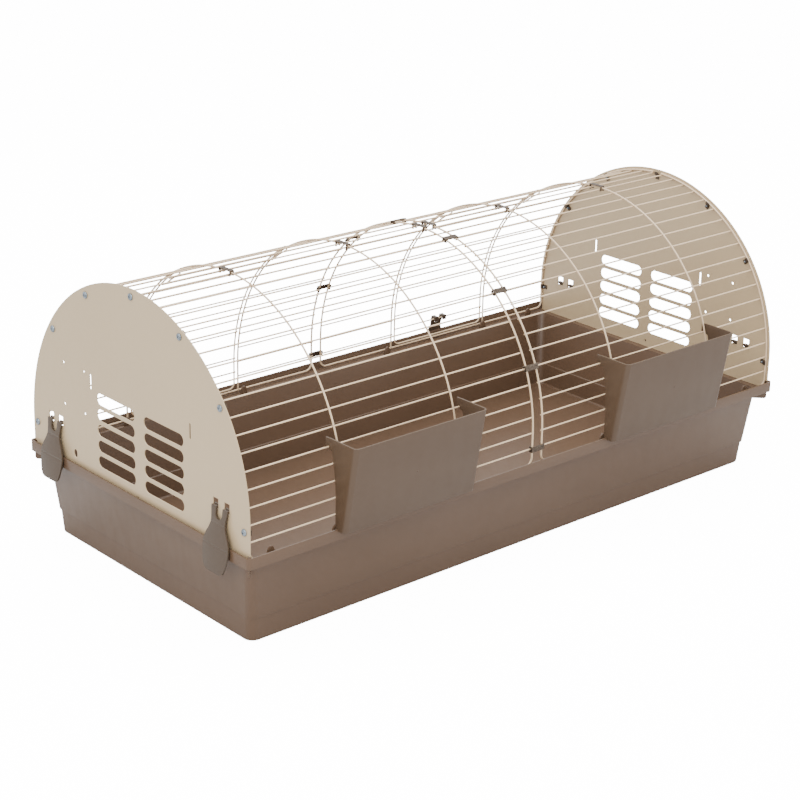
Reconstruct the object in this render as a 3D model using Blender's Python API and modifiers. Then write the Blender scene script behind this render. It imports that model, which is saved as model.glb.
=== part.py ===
"""Indoor rabbit cage: plastic base tray, wire vault, sheet-metal ends and two hopper feeders.

Metres, +Z up, +X along the length, -Y the front. The origin lies on the floor under the middle of
the whole cage, feeders and latches included. Shapes are written from the tray's own centre, and the
empty "cage_base" carries them to that origin.
"""

import math

import bmesh
import bpy
from mathutils import Matrix, Vector

MM = 0.001
GAP = 0.3 * MM
FRONT = -1
REAR = 1
LEFT = -1
RIGHT = 1
SIDES = (LEFT, RIGHT)
FACES = (FRONT, REAR)

# Tray
TRAY_LENGTH = 1.004
TRAY_WIDTH = 0.502
TRAY_SHEET = 2.5 * MM
FOOT_HEIGHT = 2.5 * MM
FOOT_SIZE = (26 * MM, 18 * MM)
FOOT_INSET = 42 * MM
BASE_HALF = (0.4765, 0.2205)
STEP_HALF = (0.4780, 0.2240)
WALL_HALF = (0.4795, 0.2255)
WALL_TOP_HALF = (0.488, 0.235)
BASE_ROUND = 3 * MM
STEP_Z = 0.037
RIM_TOP = 0.134
RIM_BOTTOM = 0.1222
LEDGE_TOP = 0.1255
RIM_CORNER = 6 * MM
WALL_CORNER = 13 * MM
RIB_SHEET = 1.8 * MM
RIB_INSET = 4.3 * MM
RIB_DEPTH = 13 * MM
RIB_REACH = 20 * MM
RIB_LEAN = 1.9 * MM
RIB_ROUND = 4 * MM
CORNER_STEPS = 4
STOP_SIZE = (12 * MM, 3.0 * MM, 13 * MM)
STOP_INSET = 16.5 * MM
STOP_PLACES = (0.142, 0.350, 0.4548)

# Vault
VAULT_AXIS_Z = 0.1744
VAULT_FOOT_Z = 0.13
LEG = VAULT_AXIS_Z - VAULT_FOOT_Z
HOOP_RADIUS = 0.2416
BAR_RADIUS = 0.2395
FRAME_WIRE = 1.4 * MM
HOOP_WIRE = 1.3 * MM
BAR_WIRE = 1.1 * MM
BAR_FIRST = 23.5 * MM
BAR_PITCH = 23 * MM
BAR_COUNT = 18
BAR_OVERHANG = 0.8 * MM
END_HOOP_X = 0.4934
FRAME_CORNER = 11 * MM
FRAME_FOOT = 0.5 * MM
HOOPS = {LEFT: (-0.346, -0.148), RIGHT: (0.1555, 0.356)}
MIDDLE_HOOP = {LEFT: -0.007, RIGHT: 0.011}
SIDE_NAMES = {LEFT: "left", RIGHT: "right"}
FACE_NAMES = {FRONT: "front", REAR: "rear"}

# Rear doors
DOOR_WIRE = 1.2 * MM
DOOR_INSET = 7 * MM
DOOR_FOOT = 4.5 * MM
DOOR_FIRST = 31 * MM
DOOR_PITCH = 22 * MM
DOOR_BARS = 12
DOOR_HINGE_BAR = 12
DOOR_LOOP = 2.9 * MM
DOOR_STUB = 40 * MM
DOOR_CORNER = 9 * MM

# End panels
PANEL_X = 0.4957
PANEL_SHEET = 1.2 * MM
PANEL_RADIUS = 0.2464
PANEL_STEPS = 36
PANEL_FOOT_HALF = 0.2408
VENT_SHIFT = 12 * MM
VENT_COLUMN = 54.1 * MM
VENT_LENGTH = 87.3 * MM
VENT_HEIGHT = 16.8 * MM
VENT_PITCH = 22.3 * MM
VENT_ROWS = 5
VENT_FIRST_Z = 0.1579
SLIT_OFFSET = 112 * MM
SLIT_Z = 0.2657
SLIT_SIZE = (3.5 * MM, 22 * MM)
SMALL_HOLE = 2.0 * MM
BOTTLE_HOLES = ((0.1155, 0.2155), (0.165, 0.2155), (0.1155, 0.275), (0.165, 0.275), (-0.005, 0.135))
OVAL_HOLE = (0.142, 0.150)
OVAL_SIZE = (8.5 * MM, 12 * MM)
WINDOW = (11 * MM, 14 * MM)
WINDOW_Z = 0.187
LATCH_Y = 0.1885
PRONG_OFFSET = 11.5 * MM
SCREW_CIRCLE = 0.2355
SCREW_FOOT_Z = 0.1675
SCREW_ANGLES = (37, 63.5, 90, 116.5, 143)

# Screws and saddle clips
SCREW_HOLE = 2.0 * MM
SCREW_SHANK = 1.4 * MM
SCREW_HEAD = 4.8 * MM
SCREW_HEAD_HEIGHT = 2.6 * MM
SCREW_HEAD_EDGE = 0.8 * MM
SCREW_REACH = 6.5 * MM
ROUND_STEPS = 8
SADDLE_SHEET = 1.2 * MM
SADDLE_WIDTH = 7 * MM
SADDLE_TAIL = 4.5 * MM

# Wire clips
CLIP_SHEET = 1.2 * MM
CLIP_WIDTH = 8 * MM
CLIP_GAP = 0.4 * MM
CLIP_BARS = (0, 5, 10, 15)

# Latches
LATCH_SHEET = 2.5 * MM
LATCH_TAB = 2.4 * MM
PRONG_WIDTH = 10 * MM
TAB_SHEET = 1.6 * MM
TAB_CATCH = 3.5 * MM
TAB_SHY = 0.2 * MM
# Half width in metres at a fraction of the length below the pivot.
LATCH_OUTLINE = (
    (0.0150, 0.125), (0.0144, 0.24), (0.0180, 0.35), (0.0225, 0.445), (0.0256, 0.55), (0.0262, 0.63),
    (0.0250, 0.74), (0.0232, 0.84), (0.0212, 0.91), (0.0180, 0.97), (0.0130, 1.0),
)
LATCH_SLOT = 0.17
SLOT_TAPER = 0.6
LIP_WIDTH = 34 * MM
LIP_HEIGHT = 3 * MM
LIP_REACH = 2.5 * MM
LIP_DROP = 1.7 * MM
END_LATCH_Z = 0.1835
END_LATCH_LENGTH = 0.084
END_LATCH_TILT = math.radians(8)
END_LATCH_STANDOFF = 1.2 * MM
DOOR_LATCH_X = {LEFT: -0.247, RIGHT: 0.257}
DOOR_LATCH_LENGTH = 0.062
DOOR_LATCH_TILT = math.radians(15)
DOOR_LATCH_STANDOFF = 4.3 * MM
DOOR_LATCH_TOP = 3.6 * MM

# Hopper feeders
HOPPER_X = {LEFT: -0.2465, RIGHT: 0.2468}
HOPPER_LENGTH = 0.226
HOPPER_WALL = 2.2 * MM
HOPPER_BOTTOM = 0.1345
HOPPER_TOP = 0.256
HOPPER_BACK = 0.2447
HOPPER_FRONT_FOOT = 0.263
HOPPER_FRONT_TOP = 0.2835
HOPPER_CHAMFER = 5 * MM
HOPPER_BAR = 4
HOOK_SHY = 0.1 * MM
HOOK_LIFT = math.radians(60)
HOOK_SLOT = 1.6 * MM
HOOK_TIP = 1.6 * MM
HOOK_DROP = 3.5 * MM
HOOK_ROOT = 12 * MM
NOTCH_STEPS = 4


# ---------------------------------------------------------------- scene and materials

def clear_scene():
    for obj in list(bpy.data.objects):
        bpy.data.objects.remove(obj, do_unlink=True)


def make_collection(name):
    collection = bpy.data.collections.new(name)
    bpy.context.scene.collection.children.link(collection)
    return collection


def make_material(name, colour, roughness, metallic=0.0):
    material = bpy.data.materials.new(name)
    material.use_nodes = True
    shader = material.node_tree.nodes["Principled BSDF"]
    shader.inputs["Base Color"].default_value = (*colour, 1.0)
    shader.inputs["Roughness"].default_value = roughness
    shader.inputs["Metallic"].default_value = metallic
    return material


clear_scene()
CAGE = make_collection("rabbit_cage")
TRAY_PLASTIC = make_material("tray_plastic", (0.215, 0.138, 0.107), 0.45)
PANEL_PAINT = make_material("panel_paint", (0.58, 0.51, 0.40), 0.35, 0.1)
WIRE_COAT = make_material("wire_coat", (0.72, 0.64, 0.52), 0.35, 0.1)
FEEDER_PLASTIC = make_material("feeder_plastic", (0.215, 0.145, 0.112), 0.42)
LATCH_PLASTIC = make_material("latch_plastic", (0.19, 0.145, 0.108), 0.45)
CLIP_STEEL = make_material("clip_steel", (0.11, 0.09, 0.075), 0.35, 0.8)
SCREW_ZINC = make_material("screw_zinc", (0.6, 0.62, 0.64), 0.3, 1.0)

BASE = bpy.data.objects.new("cage_base", None)
CAGE.objects.link(BASE)


def add_node(name, mesh, material, place=Matrix(), parent=BASE):
    """A named sub-part: its mesh is in the frame that `place` gives under its parent."""
    if not mesh.materials:
        mesh.materials.append(material)
    obj = bpy.data.objects.new(name, mesh)
    obj.matrix_local = place
    obj.parent = parent
    CAGE.objects.link(obj)
    return obj


# ---------------------------------------------------------------- shapes

def evaluated_mesh(obj):
    bpy.context.view_layer.update()
    graph = bpy.context.evaluated_depsgraph_get()
    return bpy.data.meshes.new_from_object(obj.evaluated_get(graph))


def loose_object(data):
    obj = bpy.data.objects.new("shape", data)
    bpy.context.scene.collection.objects.link(obj)
    return obj


def mesh_of(bm):
    """The closed mesh of a bmesh, its faces pointing out."""
    bmesh.ops.remove_doubles(bm, verts=bm.verts, dist=1e-6)
    bmesh.ops.recalc_face_normals(bm, faces=bm.faces)
    mesh = bpy.data.meshes.new("shape")
    bm.to_mesh(mesh)
    bm.free()
    return mesh


def solid_from(data):
    """The welded mesh of a curve."""
    obj = loose_object(data)
    bm = bmesh.new()
    bm.from_mesh(evaluated_mesh(obj))
    bpy.data.objects.remove(obj)
    return mesh_of(bm)


def boolean(base, operation, other):
    target = loose_object(base)
    tool = loose_object(other)
    modifier = target.modifiers.new("combine", "BOOLEAN")
    modifier.operation = operation
    modifier.solver = "EXACT"
    modifier.object = tool
    mesh = evaluated_mesh(target)
    bpy.data.objects.remove(target)
    bpy.data.objects.remove(tool)
    return mesh


def union(base, *others):
    for other in others:
        base = boolean(base, "UNION", other)
    return base


def moved(mesh, matrix):
    mesh.transform(matrix)
    return mesh


def box(size, centre=(0, 0, 0)):
    bm = bmesh.new()
    bmesh.ops.create_cube(bm, size=1, matrix=Matrix.Translation(centre) @ Matrix.Diagonal((*size, 1)))
    return mesh_of(bm)


def span_box(low, high):
    size = Vector(high) - Vector(low)
    return box(size, Vector(low) + size / 2)


def drum(radius, depth, steps=ROUND_STEPS):
    """A cylinder along Z about the origin."""
    bm = bmesh.new()
    bmesh.ops.create_cone(bm, cap_ends=True, segments=steps, radius1=radius, radius2=radius, depth=depth)
    return mesh_of(bm)


def wire(points, radius):
    """One bent wire through the points."""
    curve = bpy.data.curves.new("wire", "CURVE")
    curve.dimensions = "3D"
    curve.twist_mode = "MINIMUM"
    curve.bevel_depth = radius
    curve.bevel_resolution = 0
    curve.use_fill_caps = True
    spline = curve.splines.new("POLY")
    spline.points.add(len(points) - 1)
    for point, place in zip(spline.points, points):
        point.co = (*place, 1)
    return solid_from(curve)


def plate(outlines, thickness):
    """A flat sheet in XY: the first outline is its edge, the others are its holes."""
    curve = bpy.data.curves.new("sheet", "CURVE")
    curve.dimensions = "2D"
    curve.fill_mode = "BOTH"
    curve.extrude = thickness / 2
    for outline in outlines:
        spline = curve.splines.new("POLY")
        spline.points.add(len(outline) - 1)
        spline.use_cyclic_u = True
        for point, (x, y) in zip(spline.points, outline):
            point.co = (x, y, 0, 1)
    return solid_from(curve)


def turned(profile, steps=ROUND_STEPS):
    """A profile of (radius, height), top to bottom, turned about Z."""
    mesh = bpy.data.meshes.new("profile")
    points = [(radius, 0, height) for radius, height in profile]
    mesh.from_pydata(points, [(i, i + 1) for i in range(len(points) - 1)], [])
    obj = loose_object(mesh)
    screw = obj.modifiers.new("turn", "SCREW")
    screw.steps = steps
    screw.render_steps = steps
    screw.use_merge_vertices = True
    screw.merge_threshold = 1e-5
    solid = bmesh.new()
    solid.from_mesh(evaluated_mesh(obj))
    bpy.data.objects.remove(obj)
    return mesh_of(solid)


def loft(rings):
    """A closed solid through rings of equal length, capped at the first and the last."""
    bm = bmesh.new()
    rows = [[bm.verts.new(point) for point in ring] for ring in rings]
    for lower, upper in zip(rows, rows[1:]):
        for i in range(len(lower)):
            j = (i + 1) % len(lower)
            bm.faces.new((lower[i], lower[j], upper[j], upper[i]))
    bm.faces.new(reversed(rows[0]))
    bm.faces.new(rows[-1])
    return mesh_of(bm)


def hull(points):
    bm = bmesh.new()
    for point in points:
        bm.verts.new(point)
    bmesh.ops.convex_hull(bm, input=bm.verts)
    return mesh_of(bm)


def arc(centre, radius, start, end, steps):
    """Points (x, y) along an arc, angles in degrees."""
    angles = [math.radians(start + (end - start) * i / steps) for i in range(steps + 1)]
    return [(centre[0] + radius * math.cos(a), centre[1] + radius * math.sin(a)) for a in angles]


def rectangle(centre, size):
    (x, y), (w, h) = centre, size
    return [(x + sx * w / 2, y + sy * h / 2) for sx, sy in ((-1, -1), (1, -1), (1, 1), (-1, 1))]


def rounded_rectangle(half_x, half_y, radius, z):
    points = []
    for start, sx, sy in ((0, 1, 1), (90, -1, 1), (180, -1, -1), (270, 1, -1)):
        centre = (sx * (half_x - radius), sy * (half_y - radius))
        points += [(x, y, z) for x, y in arc(centre, radius, start, start + 90, CORNER_STEPS)]
    return points


# ---------------------------------------------------------------- places on the vault

def bar_s(index):
    """How far along a hoop, from its foot, the numbered bar crosses it."""
    return BAR_FIRST + BAR_PITCH * index


def vault_angle(s):
    """The angle above level, 0 on the straight legs."""
    return max(0.0, (s - LEG) / HOOP_RADIUS)


def vault_point(x, s, radius, face):
    angle = vault_angle(s)
    rise = min(s, LEG) - LEG
    across = face * radius * math.cos(angle)
    return Vector((x, across, VAULT_AXIS_Z + rise + radius * math.sin(angle)))


def vault_frame(x, s, radius, face):
    """Local X along the cage, local Z straight out of the vault."""
    tilt = -face * (math.pi / 2 - vault_angle(s))
    return Matrix.Translation(vault_point(x, s, radius, face)) @ Matrix.Rotation(tilt, 4, "X")


def vault_outline(radius, foot_z, steps):
    """The D outline (y, z) of the vault: a half circle on two straight legs."""
    half_circle = arc((0, VAULT_AXIS_Z), radius, 0, 180, steps)
    return [(radius, foot_z), *half_circle, (-radius, foot_z)]


def upright(mesh):
    """Turns a sheet drawn as (y, z) to stand across the cage."""
    return moved(mesh, Matrix.Rotation(math.pi / 2, 4, "Z") @ Matrix.Rotation(math.pi / 2, 4, "X"))


# ---------------------------------------------------------------- tray

def tray_rings():
    bottom = FOOT_HEIGHT
    floor = bottom + TRAY_SHEET
    base_x, base_y = BASE_HALF
    rim_x, rim_y = TRAY_LENGTH / 2, TRAY_WIDTH / 2
    profile = []
    for degrees in (0, 30, 60, 90):
        bend = math.radians(degrees)
        inset = BASE_ROUND * (1 - math.sin(bend))
        lift = BASE_ROUND * (1 - math.cos(bend))
        profile.append((base_x - inset, base_y - inset, WALL_CORNER, bottom + lift))
    profile += [
        (*STEP_HALF, WALL_CORNER, STEP_Z),
        (*WALL_HALF, WALL_CORNER, STEP_Z + 1 * MM),
        (*WALL_TOP_HALF, WALL_CORNER, RIM_BOTTOM - GAP),
        (rim_x, rim_y, RIM_CORNER, RIM_BOTTOM),
        (rim_x, rim_y, RIM_CORNER, RIM_TOP - 0.6 * MM),
        (rim_x - 0.6 * MM, rim_y - 0.6 * MM, RIM_CORNER, RIM_TOP),
        (rim_x - TRAY_SHEET, rim_y - TRAY_SHEET, RIM_CORNER - TRAY_SHEET, RIM_TOP),
        (rim_x - TRAY_SHEET, rim_y - TRAY_SHEET, RIM_CORNER - TRAY_SHEET, LEDGE_TOP),
    ]
    inner = WALL_CORNER - TRAY_SHEET / 2
    for (half_x, half_y), z in (
        (WALL_TOP_HALF, LEDGE_TOP),
        (WALL_HALF, STEP_Z + 1.0 * MM + TRAY_SHEET),
        (STEP_HALF, STEP_Z + TRAY_SHEET),
        (BASE_HALF, floor + BASE_ROUND / 2),
    ):
        profile.append((half_x - TRAY_SHEET, half_y - TRAY_SHEET, inner, z))
    base_inset = TRAY_SHEET + BASE_ROUND / 2
    profile.append((base_x - base_inset, base_y - base_inset, inner, floor))
    return [rounded_rectangle(*values) for values in profile]


def corner_rib_mesh():
    """A thin upright rib under the rim, from the wall's corner at the origin out along X."""
    low, high = RIM_BOTTOM - RIB_DEPTH, RIM_BOTTOM + 1 * MM
    round_end = arc((RIB_REACH - RIB_ROUND, low + RIB_ROUND), RIB_ROUND, -90, 0, 6)
    outline = [(-RIB_LEAN, low), *round_end, (RIB_REACH, high), (0, high)]
    return moved(plate([outline], RIB_SHEET), Matrix.Rotation(math.pi / 2, 4, "X"))


def make_tray():
    tray = loft(tray_rings())
    foot_x, foot_y = (half - FOOT_INSET for half in BASE_HALF)
    root_x, root_y = (half - RIB_INSET for half in WALL_TOP_HALF)
    for side in SIDES:
        for face in FACES:
            low = (side * foot_x - FOOT_SIZE[0] / 2, face * foot_y - FOOT_SIZE[1] / 2, 0)
            high = (low[0] + FOOT_SIZE[0], low[1] + FOOT_SIZE[1], FOOT_HEIGHT + 1 * MM)
            tray = union(tray, span_box(low, high))
            rib_root = Vector((side * root_x, face * root_y, 0))
            turn = Matrix.Rotation(math.atan2(face, side), 4, "Z")
            tray = union(tray, moved(corner_rib_mesh(), Matrix.Translation(rib_root) @ turn))
            for x in STOP_PLACES:
                stop_y = face * (TRAY_WIDTH / 2 - STOP_INSET)
                centre = (side * x, stop_y, LEDGE_TOP + STOP_SIZE[2] / 2 - 1 * MM)
                tray = union(tray, box(STOP_SIZE, centre))
    add_node("tray", tray, TRAY_PLASTIC)


# ---------------------------------------------------------------- end panels, screws and saddles

def stadium(centre, length, height):
    reach = (length - height) / 2
    right = arc((centre[0] + reach, centre[1]), height / 2, -90, 90, 4)
    left = arc((centre[0] - reach, centre[1]), height / 2, 90, 270, 4)
    return right + left


def ellipse(centre, size, steps):
    return [
        (centre[0] + size[0] / 2 * math.cos(a), centre[1] + size[1] / 2 * math.sin(a))
        for a in (math.tau * i / steps for i in range(steps))
    ]


def screw_places():
    """(y, z, angle) of each screw of a panel; the angle points out of the vault's centre."""
    places = [(REAR * SCREW_CIRCLE, SCREW_FOOT_Z, 0.0)]
    for degrees in SCREW_ANGLES:
        (y, z), = arc((0, VAULT_AXIS_Z), SCREW_CIRCLE, degrees, degrees, 1)[:1]
        places.append((y, z, math.radians(degrees)))
    places.append((FRONT * SCREW_CIRCLE, SCREW_FOOT_Z, math.pi))
    return places


def panel_holes():
    holes = []
    for column in (-VENT_COLUMN, VENT_COLUMN):
        for row in range(VENT_ROWS):
            centre = (column - VENT_SHIFT, VENT_FIRST_Z + VENT_PITCH * row)
            holes.append(stadium(centre, VENT_LENGTH, VENT_HEIGHT))
    for offset in (-SLIT_OFFSET, SLIT_OFFSET):
        holes.append(rectangle((offset - VENT_SHIFT, SLIT_Z), SLIT_SIZE))
    for centre in BOTTLE_HOLES:
        holes.append(ellipse(centre, (2 * SMALL_HOLE, 2 * SMALL_HOLE), 6))
    holes.append(ellipse(OVAL_HOLE, OVAL_SIZE, 10))
    for y, z, _ in screw_places():
        holes.append(ellipse((y, z), (2 * SCREW_HOLE, 2 * SCREW_HOLE), 6))
    for face in FACES:
        for prong in (-PRONG_OFFSET, PRONG_OFFSET):
            holes.append(rectangle((face * LATCH_Y + prong, WINDOW_Z), WINDOW))
    return holes


def screw_mesh():
    """Head and shank about Z, the head's underside at 0."""
    profile = (
        (0, SCREW_HEAD_HEIGHT),
        (SCREW_HEAD - SCREW_HEAD_EDGE, SCREW_HEAD_HEIGHT),
        (SCREW_HEAD, SCREW_HEAD_HEIGHT - SCREW_HEAD_EDGE),
        (SCREW_HEAD, 0),
        (SCREW_SHANK, 0),
        (SCREW_SHANK, -SCREW_REACH),
        (0, -SCREW_REACH),
    )
    return turned(profile)


def saddle_mesh():
    """A bent strip: X into the cage from the panel's inner face, Y out towards the hoop it holds."""
    hoop = HOOP_RADIUS - SCREW_CIRCLE
    hoop_depth = PANEL_X - PANEL_SHEET / 2 - END_HOOP_X + FRAME_WIRE
    step_in = hoop_depth + GAP
    step_out = step_in + SADDLE_SHEET
    riser = hoop - FRAME_WIRE - 2 * GAP
    tip = hoop + FRAME_WIRE
    profile = (
        (GAP, -SADDLE_TAIL), (GAP + SADDLE_SHEET, -SADDLE_TAIL), (GAP + SADDLE_SHEET, riser - SADDLE_SHEET),
        (step_out, riser - SADDLE_SHEET), (step_out, tip), (step_in, tip), (step_in, riser), (GAP, riser),
    )
    strip = plate([profile], SADDLE_WIDTH)
    hole = moved(drum(SCREW_HOLE, 4 * SADDLE_SHEET), Matrix.Rotation(math.pi / 2, 4, "Y"))
    return boolean(strip, "DIFFERENCE", hole)


def make_ends():
    shoulder_z = RIM_TOP + 2 * GAP
    foot = rectangle((0, (shoulder_z + LEDGE_TOP + GAP) / 2), (2 * PANEL_FOOT_HALF, shoulder_z - LEDGE_TOP - GAP))
    edge = vault_outline(PANEL_RADIUS, shoulder_z, PANEL_STEPS) + [foot[3], foot[0], foot[1], foot[2]]
    sheet = upright(plate([edge, *panel_holes()], PANEL_SHEET))
    moved(sheet, Matrix.Translation((-PANEL_X, 0, 0)))
    screw = screw_mesh()
    saddle = saddle_mesh()
    half_turn = Matrix.Rotation(math.pi, 4, "Z")
    for side, turn in ((LEFT, Matrix()), (RIGHT, half_turn)):
        name = SIDE_NAMES[side]
        add_node(f"end_panel_{name}", sheet, PANEL_PAINT, turn)
        for number, (y, z, angle) in enumerate(screw_places(), 1):
            face_out = Matrix.Translation((-PANEL_X - PANEL_SHEET / 2 - GAP, y, z))
            screw_turn = Matrix.Rotation(-math.pi / 2, 4, "Y")
            add_node(f"screw_{name}_{number}", screw, SCREW_ZINC, turn @ face_out @ screw_turn)
            face_in = Matrix.Translation((-PANEL_X + PANEL_SHEET / 2, y, z))
            saddle_turn = Matrix.Rotation(angle, 4, "X")
            add_node(f"saddle_{name}_{number}", saddle, CLIP_STEEL, turn @ face_in @ saddle_turn)


# ---------------------------------------------------------------- wire vault

def hoop_path(x, face, foot):
    """Down a hoop from its top end to `foot`, with a point between each two bars."""
    top = bar_s(BAR_COUNT - 1)
    levels = [top + 1 * MM] + [bar_s(i + 0.5) for i in reversed(range(BAR_COUNT - 1))]
    return [vault_point(x, s, HOOP_RADIUS, face) for s in levels + [foot]]


def corner_path(x, foot_s, direction, radius, face):
    """A quarter bend from a hoop's leg into the wire along its foot."""
    steps = 3
    points = []
    for i in range(steps + 1):
        bend = math.pi / 2 * i / steps
        along = x + direction * radius * (1 - math.cos(bend))
        points.append(vault_point(along, foot_s + radius * (1 - math.sin(bend)), HOOP_RADIUS, face))
    return points


def frame_path(side, face):
    end_x = side * END_HOOP_X
    middle_x = MIDDLE_HOOP[side]
    start = hoop_path(end_x, face, FRAME_FOOT)[:-1]
    start += corner_path(end_x, FRAME_FOOT, -side, FRAME_CORNER, face)
    finish = hoop_path(middle_x, face, FRAME_FOOT)[:-1]
    finish += corner_path(middle_x, FRAME_FOOT, side, FRAME_CORNER, face)
    return start + finish[::-1]


def bars(spans, radius, face):
    """One mesh of straight bars, each (s, x from, x to), with an edge turned to the hoops."""
    bm = bmesh.new()
    for s, start, end in spans:
        middle = vault_point((start + end) / 2, s, radius, face)
        turn = Matrix.Rotation(face * vault_angle(s), 4, "X") @ Matrix.Rotation(math.pi / 2, 4, "Y")
        bmesh.ops.create_cone(
            bm, cap_ends=True, segments=4, radius1=BAR_WIRE, radius2=BAR_WIRE,
            depth=abs(end - start), matrix=Matrix.Translation(middle) @ turn,
        )
    return mesh_of(bm)


def panel_spans(side, face):
    """The bars of a wire panel; a rear one is open between its two hoops for the door."""
    end_x = side * (END_HOOP_X + BAR_OVERHANG)
    middle_x = MIDDLE_HOOP[side] - side * BAR_OVERHANG
    outer_x, inner_x = sorted(HOOPS[side], key=abs, reverse=True)
    spans = []
    for index in range(BAR_COUNT):
        if face == FRONT or index >= DOOR_HINGE_BAR:
            spans.append((bar_s(index), end_x, middle_x))
        else:
            spans.append((bar_s(index), end_x, outer_x - side * BAR_OVERHANG))
            spans.append((bar_s(index), inner_x + side * BAR_OVERHANG, middle_x))
    return spans


def make_wire_panels():
    for side in SIDES:
        for face in FACES:
            panel = wire(frame_path(side, face), FRAME_WIRE)
            for x in HOOPS[side]:
                panel = union(panel, wire(hoop_path(x, face, FRAME_FOOT), HOOP_WIRE))
            panel = union(panel, bars(panel_spans(side, face), BAR_RADIUS, face))
            add_node(f"wire_panel_{FACE_NAMES[face]}_{SIDE_NAMES[side]}", panel, WIRE_COAT)


# ---------------------------------------------------------------- rear doors

def door_strand(x):
    """One side of a door's wire: the inner stub, the loop round the hinge bar, then down the side."""
    hinge = bar_s(DOOR_HINGE_BAR)
    pivot = vault_point(x, hinge, BAR_RADIUS, REAR)
    points = [
        vault_point(x, s, BAR_RADIUS - DOOR_LOOP, REAR)
        for s in (hinge - DOOR_STUB, hinge - DOOR_STUB / 2, hinge)
    ]
    inward = vault_angle(hinge) + math.pi
    for degrees in (45, 90, 135):
        turn = inward - math.radians(degrees)
        points.append(pivot + DOOR_LOOP * Vector((0, math.cos(turn), math.sin(turn))))
    points.append(vault_point(x, hinge, BAR_RADIUS + DOOR_LOOP, REAR))
    points.append(vault_point(x, hinge - DOOR_PITCH / 3, BAR_RADIUS + DOOR_LOOP, REAR))
    for index in reversed(range(DOOR_BARS)):
        points.append(vault_point(x, DOOR_FIRST + DOOR_PITCH * (index + 0.5), HOOP_RADIUS, REAR))
    return points


def door_mesh(low_x, high_x):
    left = door_strand(low_x) + corner_path(low_x, DOOR_FOOT, 1, DOOR_CORNER, REAR)
    right = door_strand(high_x) + corner_path(high_x, DOOR_FOOT, -1, DOOR_CORNER, REAR)
    frame = wire(left + right[::-1], DOOR_WIRE)
    spans = [
        (DOOR_FIRST + DOOR_PITCH * index, low_x - BAR_OVERHANG, high_x + BAR_OVERHANG)
        for index in range(DOOR_BARS)
    ]
    return union(frame, bars(spans, BAR_RADIUS, REAR))


def make_doors():
    """Each door turns about the bar that it hangs on; its latch turns about its lowest bar."""
    for side in SIDES:
        low_x, high_x = sorted(HOOPS[side])
        low_x, high_x = low_x + DOOR_INSET, high_x - DOOR_INSET
        pivot = vault_point((low_x + high_x) / 2, bar_s(DOOR_HINGE_BAR), BAR_RADIUS, REAR)
        mesh = moved(door_mesh(low_x, high_x), Matrix.Translation(-pivot))
        door = add_node(f"rear_door_{SIDE_NAMES[side]}", mesh, WIRE_COAT, Matrix.Translation(pivot))
        hook = vault_point(DOOR_LATCH_X[side], DOOR_FIRST, BAR_RADIUS, REAR) - pivot
        latch = door_latch_mesh()
        add_node(f"door_latch_{SIDE_NAMES[side]}", latch, LATCH_PLASTIC, Matrix.Translation(hook), door)


# ---------------------------------------------------------------- wire clips

def clip_mesh(bar_gap, bar_radius, plate_z, slot):
    """A sheet clip over two bars along Y; the slot lets the wire that crosses them pass.

    Z is 0 at the bars' centres, and the plate's underside is at plate_z.
    """
    inner = bar_gap / 2 + bar_radius + CLIP_GAP
    outer = inner + CLIP_SHEET
    under = -bar_radius - CLIP_GAP
    tip = bar_gap / 2 - CLIP_GAP
    half = (
        (outer, plate_z + CLIP_SHEET), (outer, under - CLIP_SHEET), (tip, under - CLIP_SHEET),
        (tip, under), (inner, under), (inner, plate_z),
    )
    profile = [*half, *((-x, z) for x, z in reversed(half))]
    clip = moved(plate([profile], CLIP_WIDTH), Matrix.Rotation(math.pi / 2, 4, "X"))
    low = (-outer - 1 * MM, -slot, under - 2 * CLIP_SHEET)
    high = (outer + 1 * MM, slot, plate_z - 0.2 * MM)
    return boolean(clip, "DIFFERENCE", span_box(low, high))


def make_clips():
    middle_gap = MIDDLE_HOOP[RIGHT] - MIDDLE_HOOP[LEFT]
    middle_x = sum(MIDDLE_HOOP.values()) / 2
    joint = clip_mesh(middle_gap, FRAME_WIRE, FRAME_WIRE + CLIP_GAP, BAR_WIRE + CLIP_GAP)
    for face in FACES:
        for number, index in enumerate(CLIP_BARS, 1):
            place = vault_frame(middle_x, bar_s(index), HOOP_RADIUS, face)
            add_node(f"joint_clip_{FACE_NAMES[face]}_{number}", joint, CLIP_STEEL, place)
    edge = vault_point(0, bar_s(BAR_COUNT - 1), BAR_RADIUS, REAR)
    hoop_top = HOOP_RADIUS + FRAME_WIRE - BAR_RADIUS
    top = clip_mesh(2 * edge.y, BAR_WIRE, hoop_top + CLIP_GAP, FRAME_WIRE + CLIP_GAP)
    hoops = sorted([*HOOPS[LEFT], *MIDDLE_HOOP.values(), *HOOPS[RIGHT]])
    for number, x in enumerate(hoops, 1):
        place = Matrix.Translation((x, 0, edge.z)) @ Matrix.Rotation(math.pi / 2, 4, "Z")
        add_node(f"top_clip_{number}", top, CLIP_STEEL, place)


# ---------------------------------------------------------------- latches

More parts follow.
